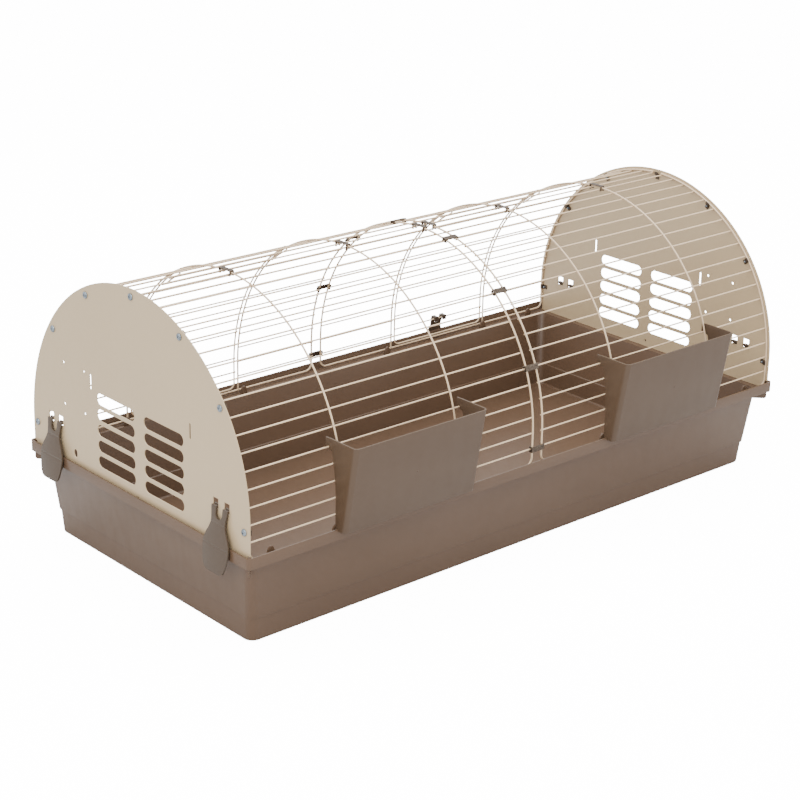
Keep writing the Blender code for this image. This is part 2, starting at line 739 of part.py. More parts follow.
def latch_body(top, length, tilt, standoff):
    """The forked plate, leaning out from its pivot: X across it, Y away from the cage."""
    scale = length / END_LATCH_LENGTH
    prong_in = scale * (PRONG_OFFSET - PRONG_WIDTH / 2)
    prong_out = scale * (PRONG_OFFSET + PRONG_WIDTH / 2)
    slot_foot = -LATCH_SLOT * length
    right = [(0, slot_foot), (prong_in * SLOT_TAPER, slot_foot), (prong_in, slot_foot * SLOT_TAPER), (prong_in, top)]
    right.append((prong_out, top))
    right += [(scale * half, -fraction * length) for half, fraction in LATCH_OUTLINE]
    outline = right + [(-x, z) for x, z in reversed(right[1:])]
    sheet = moved(plate([outline], LATCH_SHEET), Matrix.Rotation(math.pi / 2, 4, "X"))
    moved(sheet, Matrix.Translation((0, LATCH_SHEET / 2, 0)))
    return moved(sheet, Matrix.Translation((0, standoff, 0)) @ Matrix.Rotation(tilt, 4, "X"))


def latch_lip(pivot_z, rim_y, tilt, standoff, width):
    """The ledge that catches under the tray's rim; rim_y is the rim's edge, from the pivot."""
    top = RIM_BOTTOM - LIP_DROP - pivot_z
    plate_y = standoff - top * math.tan(tilt) + LATCH_SHEET / 2
    low = (-width / 2, rim_y - LIP_REACH, top - LIP_HEIGHT)
    return span_box(low, (width / 2, plate_y, top))


def end_latch_mesh():
    """Two prongs pass through the panel's windows and turn up behind the sheet."""
    latch = latch_body(LATCH_TAB / 2, END_LATCH_LENGTH, END_LATCH_TILT, END_LATCH_STANDOFF)
    behind = PANEL_SHEET / 2 + GAP
    back = behind + TAB_SHEET
    upturn = WINDOW_Z + WINDOW[1] / 2 - END_LATCH_Z + TAB_CATCH
    rim_y = TRAY_LENGTH / 2 - PANEL_X
    lip = latch_lip(END_LATCH_Z, rim_y, END_LATCH_TILT, END_LATCH_STANDOFF, LIP_WIDTH)
    latch = union(latch, lip)
    half_tab = LATCH_TAB / 2 - 0.1 * MM
    for sign in SIDES:
        low_x = sign * PRONG_OFFSET - PRONG_WIDTH / 2 + TAB_SHY
        high_x = sign * PRONG_OFFSET + PRONG_WIDTH / 2 - TAB_SHY
        tab = span_box((low_x, -back, -half_tab), (high_x, END_LATCH_STANDOFF + 1 * MM, half_tab))
        leg = span_box((low_x, -back, -half_tab), (high_x, -behind, upturn))
        latch = union(latch, union(tab, leg))
    return latch


def door_latch_mesh():
    """Two prongs hook over the door's lowest bar."""
    pivot = vault_point(0, DOOR_FIRST, BAR_RADIUS, REAR)
    latch = latch_body(DOOR_LATCH_TOP, DOOR_LATCH_LENGTH, DOOR_LATCH_TILT, DOOR_LATCH_STANDOFF)
    rim_y = TRAY_WIDTH / 2 - pivot.y
    scale = DOOR_LATCH_LENGTH / END_LATCH_LENGTH
    lip_width = scale * LIP_WIDTH
    lip = latch_lip(pivot.z, rim_y, DOOR_LATCH_TILT, DOOR_LATCH_STANDOFF, lip_width)
    latch = union(latch, lip)
    clear = BAR_WIRE + 0.6 * MM
    back = clear + 2 * MM
    top = DOOR_LATCH_TOP - 0.1 * MM
    for sign in SIDES:
        low_x = scale * (sign * PRONG_OFFSET - PRONG_WIDTH / 2) + TAB_SHY
        high_x = scale * (sign * PRONG_OFFSET + PRONG_WIDTH / 2) - TAB_SHY
        tab = span_box((low_x, -back, clear), (high_x, DOOR_LATCH_STANDOFF + 1 * MM, top))
        leg = span_box((low_x, -back, -back), (high_x, -clear, top))
        latch = union(latch, union(tab, leg))
    return latch


def make_end_latches():
    """The latch's Y points out of the cage at either end."""
    mesh = end_latch_mesh()
    for side in SIDES:
        for face in FACES:
            place = Matrix.Translation((side * PANEL_X, face * LATCH_Y, END_LATCH_Z))
            turn = Matrix.Rotation(-side * math.pi / 2, 4, "Z")
            name = f"end_latch_{SIDE_NAMES[side]}_{FACE_NAMES[face]}"
            add_node(name, mesh, LATCH_PLASTIC, place @ turn)


# ---------------------------------------------------------------- hopper feeders

def hopper_block(inset, floor, top):
    """The wedge between the vault and the leaning front, drawn in by `inset` on its three walls."""
    lean = (HOPPER_FRONT_TOP - HOPPER_FRONT_FOOT) / (HOPPER_TOP - HOPPER_BOTTOM)
    half = HOPPER_LENGTH / 2 - inset
    back = -0.2
    points = []
    for z in (floor, top):
        front = -HOPPER_FRONT_FOOT - lean * (z - HOPPER_BOTTOM) + inset
        for side in SIDES:
            points += [(side * half, back, z), (side * half, front + HOPPER_CHAMFER, z)]
            points.append((side * (half - HOPPER_CHAMFER), front, z))
    return hull(points)


def hook_sheet(width):
    """A hook over the bar up to the hopper's top edge, notched along the way that the hopper lifts off."""
    pivot = vault_point(0, bar_s(HOPPER_BAR), BAR_RADIUS, FRONT)
    lift = Vector((-math.cos(HOOK_LIFT), math.sin(HOOK_LIFT)))
    across = Vector((lift.y, -lift.x))
    mouth = {}
    for side in SIDES:
        edge = side * HOOK_SLOT * across
        mouth[side] = edge - lift * ((edge.y + HOOK_DROP) / lift.y)
    turn = math.degrees(HOOK_LIFT)
    notch = arc((0, 0), HOOK_SLOT, 270 - turn, 90 - turn, NOTCH_STEPS)
    inner = mouth[RIGHT].x + HOOK_TIP
    top = HOPPER_TOP - GAP - pivot.z
    outline = [
        (-HOOK_ROOT, -HOOK_DROP), tuple(mouth[LEFT]), *notch, tuple(mouth[RIGHT]),
        (inner, -HOOK_DROP), (inner, top), (-HOOK_ROOT, top),
    ]
    return moved(upright(plate([outline], width)), Matrix.Translation(pivot))


def vault_slab(radius, low_x, high_x):
    """The vault's outline as a slab between two places along the cage."""
    slab = upright(plate([vault_outline(radius, 0.1, PANEL_STEPS)], high_x - low_x))
    return moved(slab, Matrix.Translation(((low_x + high_x) / 2, 0, 0)))


def hook_mesh(sign):
    """A hook in the plane of an end wall, thinner than the wall so that no two faces lie together."""
    hook = hook_sheet(HOPPER_WALL - 2 * HOOK_SHY)
    return moved(hook, Matrix.Translation((sign * (HOPPER_LENGTH - HOPPER_WALL) / 2, 0, 0)))


def hopper_mesh():
    """Floor, leaning front and two ends, cut back to the vault, with a hook at each end."""
    hopper = hopper_block(0, HOPPER_BOTTOM, HOPPER_TOP)
    cavity = hopper_block(HOPPER_WALL, HOPPER_BOTTOM + HOPPER_WALL, HOPPER_TOP + 10 * MM)
    hopper = boolean(hopper, "DIFFERENCE", cavity)
    hopper = boolean(hopper, "DIFFERENCE", vault_slab(HOPPER_BACK, -HOPPER_LENGTH, HOPPER_LENGTH))
    return union(hopper, hook_mesh(LEFT), hook_mesh(RIGHT))


def make_hoppers():
    mesh = hopper_mesh()
    for side in SIDES:
        place = Matrix.Translation((HOPPER_X[side], 0, 0))
        add_node(f"hopper_{SIDE_NAMES[side]}", mesh, FEEDER_PLASTIC, place)


# ---------------------------------------------------------------- the whole cage

def rear_reach():
    """How far behind the tray's centre the lower edge of a door latch stands."""
    pivot = vault_point(0, DOOR_FIRST, BAR_RADIUS, REAR)
    down = DOOR_LATCH_LENGTH * math.sin(DOOR_LATCH_TILT)
    return pivot.y + DOOR_LATCH_STANDOFF + down + LATCH_SHEET * math.cos(DOOR_LATCH_TILT)


make_tray()
make_ends()
make_wire_panels()
make_doors()
make_clips()
make_end_latches()
make_hoppers()
BASE.location.y = (HOPPER_FRONT_TOP - rear_reach()) / 2
bpy.context.view_layer.update()
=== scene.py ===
"""Indoor rabbit cage with two hopper feeders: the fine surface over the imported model.

Metres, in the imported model's frame: +X along the length, -Y the front, +Z up. Heights and sizes are
written from the tray's own centre, and ORIGIN carries them to the frame.
"""

import math

import bmesh
import bpy
from mathutils import Matrix, Vector


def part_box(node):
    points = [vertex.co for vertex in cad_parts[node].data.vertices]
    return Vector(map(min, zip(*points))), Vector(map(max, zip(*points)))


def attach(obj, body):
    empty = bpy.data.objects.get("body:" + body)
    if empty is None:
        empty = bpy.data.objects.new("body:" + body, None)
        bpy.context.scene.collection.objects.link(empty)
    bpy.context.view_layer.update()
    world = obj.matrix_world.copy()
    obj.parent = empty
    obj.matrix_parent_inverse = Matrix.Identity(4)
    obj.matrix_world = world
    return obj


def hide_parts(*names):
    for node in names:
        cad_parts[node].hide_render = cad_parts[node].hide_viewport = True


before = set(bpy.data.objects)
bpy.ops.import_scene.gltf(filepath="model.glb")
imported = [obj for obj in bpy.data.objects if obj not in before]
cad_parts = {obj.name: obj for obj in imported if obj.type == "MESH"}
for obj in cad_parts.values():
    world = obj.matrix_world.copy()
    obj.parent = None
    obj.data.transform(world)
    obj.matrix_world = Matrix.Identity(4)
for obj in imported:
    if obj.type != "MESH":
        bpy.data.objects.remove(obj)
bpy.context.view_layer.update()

MM = 0.001
FRONT, REAR = -1, 1
LEFT, RIGHT = -1, 1
SIDES = (LEFT, RIGHT)
FACES = (FRONT, REAR)
SIDE_NAMES = {LEFT: "left", RIGHT: "right"}
FACE_NAMES = {FRONT: "front", REAR: "rear"}

TRAY_LOW, TRAY_HIGH = (Vector(corner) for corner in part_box("tray"))
ORIGIN = Vector((0, (TRAY_LOW.y + TRAY_HIGH.y) / 2, 0))
TO_FRAME = Matrix.Translation(ORIGIN)

# Tray
RIM_HALF = ((TRAY_HIGH.x - TRAY_LOW.x) / 2, (TRAY_HIGH.y - TRAY_LOW.y) / 2)
RIM_TOP = TRAY_HIGH.z
TRAY_SHEET = 2.5 * MM
FOOT_HEIGHT = 2.5 * MM
FOOT_SIZE = (26 * MM, 18 * MM)
FOOT_INSET = 42 * MM
FOOT_ROUND = 5 * MM
BASE_HALF = (0.4765, 0.2205)
STEP_HALF = (0.4780, 0.2240)
WALL_HALF = (0.4795, 0.2255)
WALL_TOP_HALF = (0.488, 0.235)
BASE_ROUND = 3 * MM
STEP_Z = 0.037
STEP_RISE = 1 * MM
RIM_BOTTOM = 0.1222
LEDGE_TOP = 0.1255
RIM_CORNER = 6 * MM
WALL_CORNER = 13 * MM
RIB_SHEET = 1.8 * MM
RIB_INSET = 4.3 * MM
RIB_DEPTH = 13 * MM
RIB_REACH = 20 * MM
RIB_LEAN = 1.9 * MM
RIB_ROUND = 4 * MM
CORNER_STEPS = 10
BASE_BEND = range(0, 91, 15)
TRAY_EDGE = 0.6 * MM
STOP_EDGE = 0.5 * MM
# How far a part that is joined to another reaches into it.
OVERLAP = 1 * MM
STOP_SIZE = (12 * MM, 3.0 * MM, 13 * MM)
STOP_INSET = 16.5 * MM
STOP_PLACES = (0.142, 0.350, 0.4548)

# Vault
VAULT_AXIS_Z = 0.1744
VAULT_FOOT_Z = 0.13
LEG = VAULT_AXIS_Z - VAULT_FOOT_Z
HOOP_RADIUS = 0.2416
BAR_RADIUS = 0.2395
FRAME_WIRE = 1.4 * MM
HOOP_WIRE = 1.3 * MM
BAR_WIRE = 1.1 * MM
BAR_FIRST = 23.5 * MM
BAR_PITCH = 23 * MM
BAR_COUNT = 18
BAR_OVERHANG = 0.8 * MM
HOOP_OVERHANG = 1 * MM
END_HOOP_X = 0.4934
FRAME_CORNER = 11 * MM
FRAME_FOOT = 0.5 * MM
HOOPS = {LEFT: (-0.346, -0.148), RIGHT: (0.1555, 0.356)}
MIDDLE_HOOP = {LEFT: -0.007, RIGHT: 0.011}
ARC_STEP = 4 * MM

# Rear doors
DOOR_WIRE = 1.2 * MM
DOOR_INSET = 7 * MM
DOOR_FOOT = 4.5 * MM
DOOR_FIRST = 31 * MM
DOOR_PITCH = 22 * MM
DOOR_BARS = 12
DOOR_HINGE_BAR = 12
DOOR_LOOP = 2.9 * MM
DOOR_STUB = 40 * MM
STUB_STEPS = 6
DOOR_CORNER = 9 * MM

# End panels
PANEL_X = 0.4957
PANEL_SHEET = 1.2 * MM
PANEL_RADIUS = 0.2464
PANEL_FOOT_HALF = 0.2408
PANEL_STEPS = 120
PANEL_EDGE = 0.25 * MM
VENT_SHIFT = 12 * MM
VENT_COLUMN = 54.1 * MM
VENT_LENGTH = 87.3 * MM
VENT_HEIGHT = 16.8 * MM
VENT_ROUND = VENT_HEIGHT / 2 - 0.01 * MM
VENT_PITCH = 22.3 * MM
VENT_ROWS = 5
VENT_FIRST_Z = 0.1579
SLIT_OFFSET = 112 * MM
SLIT_Z = 0.2657
SLIT_SIZE = (3.5 * MM, 22 * MM)
SLIT_ROUND = 1.7 * MM
SMALL_HOLE = 2.0 * MM
BOTTLE_HOLES = (
    (0.1155, 0.2155), (0.165, 0.2155), (0.1155, 0.275), (0.165, 0.275), (-0.005, 0.135),
)
HOLE_STEPS = 16
OVAL_HOLE = (0.142, 0.150)
OVAL_SIZE = (8.5 * MM, 12 * MM)
WINDOW = (11 * MM, 14 * MM)
WINDOW_ROUND = 0.8 * MM
WINDOW_Z = 0.187
LATCH_Y = 0.1885
PRONG_OFFSET = 11.5 * MM
SCREW_CIRCLE = 0.2355
SCREW_FOOT_Z = 0.1675
SCREW_ANGLES = (37, 63.5, 90, 116.5, 143)

# Screws and saddle clips
SCREW_HOLE = 2.0 * MM
SCREW_SHANK = 1.4 * MM
SCREW_HEAD = 4.8 * MM
SCREW_HEAD_HEIGHT = 2.6 * MM
SCREW_REACH = 6.5 * MM
SCREW_POINT = 1 * MM
SCREW_DOME = 0.6
SCREW_RIM = 0.25 * MM
SCREW_UNDERCUT = 0.2 * MM
SCREW_EDGE = 0.12 * MM
SCREW_SPIN = 1.1
RECESS_REACH = 2.0 * MM
RECESS_WIDTH = 0.75 * MM
RECESS_DEPTH = 1.1 * MM
SADDLE_SHEET = 1.2 * MM
SADDLE_WIDTH = 7 * MM
SADDLE_TAIL = 4.5 * MM
SADDLE_EDGE = 0.3 * MM
GAP = 0.3 * MM

# Wire clips
CLIP_SHEET = 1.2 * MM
CLIP_WIDTH = 8 * MM
CLIP_GAP = 0.4 * MM
CLIP_EDGE = 0.35 * MM
SLOT_SHY = 0.2 * MM
GROOVE_RADIUS = 1.1 * MM
GROOVE_RISE = 0.6 * MM
CLIP_BARS = (0, 5, 10, 15)

# Latches
LATCH_SHEET = 2.5 * MM
LATCH_TAB = 2.4 * MM
PRONG_WIDTH = 10 * MM
TAB_SHEET = 1.6 * MM
TAB_SHY = 0.2 * MM
LATCH_SHY = 0.1 * MM
LATCH_EDGE = 0.5 * MM
LATCH_OUTLINE = (
    (0.0150, 0.125), (0.0144, 0.24), (0.0180, 0.35), (0.0225, 0.445), (0.0256, 0.55), (0.0262, 0.63),
    (0.0250, 0.74), (0.0232, 0.84), (0.0212, 0.91), (0.0180, 0.97), (0.0130, 1.0),
)
LATCH_SLOT = 0.17
LATCH_CREASES = (0.25, 0.60)
CREASE_RADIUS = 2.2 * MM
CREASE_DEPTH = 0.3 * MM
LIP_WIDTH = 34 * MM
LIP_HEIGHT = 3 * MM
LIP_REACH = 2.5 * MM
LIP_DROP = 1.7 * MM
END_LATCH_Z = 0.1835
END_LATCH_LENGTH = 0.084
END_LATCH_TILT = math.radians(8)
END_LATCH_STANDOFF = 1.2 * MM
DOOR_LATCH_X = {LEFT: -0.247, RIGHT: 0.257}
DOOR_LATCH_LENGTH = 0.062
DOOR_LATCH_TILT = math.radians(15)
DOOR_LATCH_STANDOFF = 4.3 * MM
DOOR_LATCH_TOP = 3.6 * MM
DOOR_LATCH_PLAY = 0.6 * MM
DOOR_TAB_SHEET = 2 * MM

# Hopper feeders
HOPPER_X = {LEFT: -0.2465, RIGHT: 0.2468}
HOPPER_LENGTH = 0.226
HOPPER_WALL = 2.2 * MM
HOPPER_BOTTOM = 0.1345
HOPPER_TOP = 0.256
HOPPER_BACK = 0.2447
HOPPER_FRONT_FOOT = 0.263
HOPPER_FRONT_TOP = 0.2835
HOPPER_ROUND = 7 * MM
HOPPER_EDGE = 0.55 * MM
HOPPER_INSIDE = -0.2
SLAB_FOOT_Z = 0.1
ROUND_STEPS = 10
HOPPER_BAR = 4
HOOK_SHY = 0.1 * MM
HOOK_LIFT = math.radians(60)
HOOK_SLOT = 1.6 * MM
HOOK_TIP = 1.6 * MM
HOOK_DROP = 3.5 * MM
HOOK_ROOT = 12 * MM
NOTCH_STEPS = 10
GATE_MARK = 1.4 * MM
GATE_RISE = 0.5 * MM
GATE_SHOULDER = 0.4 * MM


# ---------------------------------------------------------------- materials

def new_material(name, colour, roughness, metallic=0.0):
    material = bpy.data.materials.new(name)
    material.use_nodes = True
    shader = material.node_tree.nodes["Principled BSDF"]
    shader.inputs["Base Color"].default_value = (*colour, 1)
    shader.inputs["Roughness"].default_value = roughness
    shader.inputs["Metallic"].default_value = metallic
    return material, material.node_tree, shader


def add_noise(tree, scale, detail=3.0, stretch=(1, 1, 1)):
    """Noise in the object's own metres; `scale` is how many blotches there are in a metre."""
    place = tree.nodes.new("ShaderNodeTexCoord")
    mapping = tree.nodes.new("ShaderNodeMapping")
    mapping.inputs["Scale"].default_value = stretch
    noise = tree.nodes.new("ShaderNodeTexNoise")
    noise.inputs["Scale"].default_value = scale
    noise.inputs["Detail"].default_value = detail
    tree.links.new(place.outputs["Object"], mapping.inputs["Vector"])
    tree.links.new(mapping.outputs["Vector"], noise.inputs["Vector"])
    return noise.outputs["Fac"]


def add_range(tree, value, low, high, start=0.35, end=0.65):
    spread = tree.nodes.new("ShaderNodeMapRange")
    spread.inputs["From Min"].default_value = start
    spread.inputs["From Max"].default_value = end
    spread.inputs["To Min"].default_value = low
    spread.inputs["To Max"].default_value = high
    tree.links.new(value, spread.inputs["Value"])
    return spread.outputs["Result"]


def add_mottle(tree, shader, colour, other, value):
    mix = tree.nodes.new("ShaderNodeMix")
    mix.data_type = "RGBA"
    mix.inputs["A"].default_value = (*colour, 1)
    mix.inputs["B"].default_value = (*other, 1)
    tree.links.new(value, mix.inputs["Factor"])
    tree.links.new(mix.outputs["Result"], shader.inputs["Base Color"])


def add_bump(tree, shader, layers):
    """Bumps laid one over the other: (height, strength, distance) each."""
    below = None
    for height, strength, distance in layers:
        bump = tree.nodes.new("ShaderNodeBump")
        bump.inputs["Strength"].default_value = strength
        bump.inputs["Distance"].default_value = distance
        tree.links.new(height, bump.inputs["Height"])
        if below:
            tree.links.new(below, bump.inputs["Normal"])
        below = bump.outputs["Normal"]
    tree.links.new(below, shader.inputs["Normal"])


def moulded_plastic(name, colour, other, roughness, grain=0.18):
    """Injection-moulded plastic: faint flow mottling, spark-eroded grain and a slow mould waviness."""
    material, tree, shader = new_material(name, colour, roughness)
    shader.inputs["Specular IOR Level"].default_value = 0.42
    shader.inputs["IOR"].default_value = 1.49
    flow = add_noise(tree, scale=9, detail=2, stretch=(1, 1, 2.5))
    add_mottle(tree, shader, colour, other, add_range(tree, flow, 0, 1))
    scuff = add_noise(tree, scale=60, detail=5, stretch=(1, 1, 0.4))
    rough = add_range(tree, scuff, roughness - 0.02, roughness + 0.03)
    tree.links.new(rough, shader.inputs["Roughness"])
    fine = add_noise(tree, scale=1500, detail=2)
    slow = add_noise(tree, scale=7, detail=1)
    add_bump(tree, shader, [(slow, 0.08, 2 * MM), (fine, grain, 0.12 * MM)])
    return material


def coated_metal(name, colour, other, roughness, peel_scale):
    """Powder coat over steel: a glossy skin with orange peel and small tone changes."""
    material, tree, shader = new_material(name, colour, roughness, 0.0)
    shader.inputs["Coat Weight"].default_value = 0.2
    shader.inputs["Coat Roughness"].default_value = 0.16
    tone = add_noise(tree, scale=6, detail=3)
    add_mottle(tree, shader, colour, other, add_range(tree, tone, 0, 1))
    wear = add_noise(tree, scale=120, detail=4)
    rough = add_range(tree, wear, roughness - 0.04, roughness + 0.08)
    tree.links.new(rough, shader.inputs["Roughness"])
    peel = add_noise(tree, scale=peel_scale, detail=2)
    slow = add_noise(tree, scale=14, detail=1)
    add_bump(tree, shader, [(slow, 0.12, 1.5 * MM), (peel, 0.12, 0.12 * MM)])
    return material


def bare_metal(name, colour, other, roughness, brush):
    """Plated or phosphated steel, brushed along one way, with darker spots."""
    material, tree, shader = new_material(name, colour, roughness, 0.9)
    spots = add_noise(tree, scale=350, detail=5)
    add_mottle(tree, shader, colour, other, add_range(tree, spots, 0, 1, 0.4, 0.62))
    lines = add_noise(tree, scale=900, detail=3, stretch=brush)
    rough = add_range(tree, lines, roughness - 0.08, roughness + 0.12)
    tree.links.new(rough, shader.inputs["Roughness"])
    add_bump(tree, shader, [(lines, 0.2, 0.05 * MM)])
    return material


TRAY_PLASTIC = moulded_plastic("tray_plastic", (0.096, 0.057, 0.034), (0.101, 0.060, 0.036), 0.34)
FEEDER_PLASTIC = moulded_plastic("feeder_plastic", (0.075, 0.046, 0.027), (0.079, 0.049, 0.029), 0.42)
LATCH_PLASTIC = moulded_plastic("latch_plastic", (0.056, 0.037, 0.023), (0.060, 0.040, 0.025), 0.38, 0.25)
PANEL_PAINT = coated_metal("panel_paint", (0.45, 0.34, 0.205), (0.46, 0.35, 0.212), 0.32, 700)
WIRE_COAT = coated_metal("wire_coat", (0.66, 0.50, 0.33), (0.58, 0.43, 0.28), 0.3, 900)
CLIP_STEEL = bare_metal("clip_steel", (0.12, 0.092, 0.070), (0.075, 0.058, 0.045), 0.42, (1, 0.2, 1))
SCREW_ZINC = bare_metal("screw_zinc", (0.30, 0.35, 0.40), (0.17, 0.20, 0.23), 0.3, (1, 1, 0.2))


# ---------------------------------------------------------------- shapes

def evaluated_mesh(obj):
    bpy.context.view_layer.update()
    graph = bpy.context.evaluated_depsgraph_get()
    return bpy.data.meshes.new_from_object(obj.evaluated_get(graph))


def loose_object(data):
    obj = bpy.data.objects.new("shape", data)
    bpy.context.scene.collection.objects.link(obj)
    return obj


def mesh_of(bm):
    bmesh.ops.remove_doubles(bm, verts=bm.verts, dist=1e-6)
    bmesh.ops.recalc_face_normals(bm, faces=bm.faces)
    mesh = bpy.data.meshes.new("shape")
    bm.to_mesh(mesh)
    bm.free()
    return mesh


def solid_from(obj):
    """The welded mesh that a loose object evaluates to; the object goes."""
    bm = bmesh.new()
    bm.from_mesh(evaluated_mesh(obj))
    bpy.data.objects.remove(obj)
    return mesh_of(bm)


def boolean(base, operation, other):
    target = loose_object(base)
    tool = loose_object(other)
    modifier = target.modifiers.new("combine", "BOOLEAN")
    modifier.operation = operation
    modifier.solver = "EXACT"
    modifier.object = tool
    mesh = evaluated_mesh(target)
    bpy.data.objects.remove(target)
    bpy.data.objects.remove(tool)
    return mesh


def union(base, *others):
    for other in others:
        base = boolean(base, "UNION", other)
    return base


def bevelled(mesh, width, segments=2, angle=40):
    """Rounds every edge that turns by more than `angle` degrees."""
    obj = loose_object(mesh)
    bevel = obj.modifiers.new("round", "BEVEL")
    bevel.width = width
    bevel.segments = segments
    bevel.limit_method = "ANGLE"
    bevel.angle_limit = math.radians(angle)
    bevel.use_clamp_overlap = True
    result = evaluated_mesh(obj)
    bpy.data.objects.remove(obj)
    return result


def moved(mesh, matrix):
    mesh.transform(matrix)
    return mesh


def box(size, centre=(0, 0, 0)):
    bm = bmesh.new()
    bmesh.ops.create_cube(bm, size=1, matrix=Matrix.Translation(centre) @ Matrix.Diagonal((*size, 1)))
    return mesh_of(bm)


def span_box(low, high):
    size = Vector(high) - Vector(low)
    return box(size, Vector(low) + size / 2)


def drum(radius, depth, steps=24):
    bm = bmesh.new()
    bmesh.ops.create_cone(bm, cap_ends=True, segments=steps, radius1=radius, radius2=radius, depth=depth)
    return mesh_of(bm)


def plate(outlines, thickness):
    """A flat sheet in XY: the first outline is its edge, the others are its holes."""
    curve = bpy.data.curves.new("sheet", "CURVE")
    curve.dimensions = "2D"
    curve.fill_mode = "BOTH"
    curve.extrude = thickness / 2
    for outline in outlines:
        spline = curve.splines.new("POLY")
        spline.points.add(len(outline) - 1)
        spline.use_cyclic_u = True
        for point, (x, y) in zip(spline.points, outline):
            point.co = (x, y, 0, 1)
    return solid_from(loose_object(curve))


def turned(profile, steps=32):
    """A profile of (radius, height), top to bottom, turned about Z."""
    mesh = bpy.data.meshes.new("profile")
    points = [(radius, 0, height) for radius, height in profile]
    mesh.from_pydata(points, [(i, i + 1) for i in range(len(points) - 1)], [])
    obj = loose_object(mesh)
    screw = obj.modifiers.new("turn", "SCREW")
    screw.steps = steps
    screw.render_steps = steps
    screw.use_merge_vertices = True
    screw.merge_threshold = 1e-5
    return solid_from(obj)


def loft(rings):
    """A closed solid through rings of equal length, capped at the first and the last."""
    bm = bmesh.new()
    rows = [[bm.verts.new(point) for point in ring] for ring in rings]
    for lower, upper in zip(rows, rows[1:]):
        for i in range(len(lower)):
            j = (i + 1) % len(lower)
            bm.faces.new((lower[i], lower[j], upper[j], upper[i]))
    bm.faces.new(reversed(rows[0]))
    bm.faces.new(rows[-1])
    return mesh_of(bm)


def arc(centre, radius, start, end, steps):
    """Points (x, y) along an arc, angles in degrees."""
    angles = [math.radians(start + (end - start) * i / steps) for i in range(steps + 1)]
    return [(centre[0] + radius * math.cos(a), centre[1] + radius * math.sin(a)) for a in angles]


def rounded_outline(centre, size, radius, steps=5):
    (x, y), (half_x, half_y) = centre, (size[0] / 2 - radius, size[1] / 2 - radius)
    points = []
    for start, sx, sy in ((0, 1, 1), (90, -1, 1), (180, -1, -1), (270, 1, -1)):
        points += arc((x + sx * half_x, y + sy * half_y), radius, start, start + 90, steps)
    return points


def ellipse(centre, size, steps=24):
    return [
        (centre[0] + size[0] / 2 * math.cos(a), centre[1] + size[1] / 2 * math.sin(a))
        for a in (math.tau * i / steps for i in range(steps))
    ]


def smoothed(points, steps=4):
    """A smooth line through the points, by Catmull-Rom, keeping its two ends."""
    ends = [points[0], *points, points[-1]]
    line = []
    for a, b, c, d in zip(ends, ends[1:], ends[2:], ends[3:]):
        for i in range(steps):
            t = i / steps
            line.append(tuple(
                0.5 * (2 * q + (r - p) * t + (2 * p - 5 * q + 4 * r - s) * t * t
                       + (3 * q - p - 3 * r + s) * t ** 3)
                for p, q, r, s in zip(a, b, c, d)
            ))
    return line + [tuple(points[-1])]


def add_piece(name, data, material, body, nodes, place=Matrix()):
    """A visible piece: rides on its body and stands for its nodes."""
    if isinstance(data, bpy.types.Mesh):
        data.shade_smooth()
        data.set_sharp_from_angle(angle=math.radians(38))
    if not data.materials:
        data.materials.append(material)
    obj = bpy.data.objects.new(name, data)
    bpy.context.scene.collection.objects.link(obj)
    obj.matrix_world = TO_FRAME @ place
    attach(obj, body)
    if nodes:
        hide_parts(*nodes)
    return obj


# ---------------------------------------------------------------- places on the vault

def bar_s(index):
    """How far along a hoop, from its foot, the numbered bar crosses it."""
    return BAR_FIRST + BAR_PITCH * index


def vault_angle(s):
    return max(0.0, (s - LEG) / HOOP_RADIUS)


def vault_point(x, s, radius, face):
    angle = vault_angle(s)
    rise = min(s, LEG) - LEG
    across = face * radius * math.cos(angle)
    return Vector((x, across, VAULT_AXIS_Z + rise + radius * math.sin(angle)))


def vault_frame(x, s, radius, face):
    """Local X along the cage, local Z straight out of the vault."""
    tilt = -face * (math.pi / 2 - vault_angle(s))
    return Matrix.Translation(vault_point(x, s, radius, face)) @ Matrix.Rotation(tilt, 4, "X")


def vault_outline(radius, foot_z, steps=PANEL_STEPS):
    half_circle = arc((0, VAULT_AXIS_Z), radius, 0, 180, steps)
    return [(radius, foot_z), *half_circle, (-radius, foot_z)]


def upright(mesh):
    """Turns a sheet drawn as (y, z) to stand across the cage."""
    return moved(mesh, Matrix.Rotation(math.pi / 2, 4, "Z") @ Matrix.Rotation(math.pi / 2, 4, "X"))


# ---------------------------------------------------------------- tray

def tray_ring(half_x, half_y, radius, z):
    points = []
    for start, sx, sy in ((0, 1, 1), (90, -1, 1), (180, -1, -1), (270, 1, -1)):
        centre = (sx * (half_x - radius), sy * (half_y - radius))
        points += [(x, y, z) for x, y in arc(centre, radius, start, start + 90, CORNER_STEPS)]
    return points


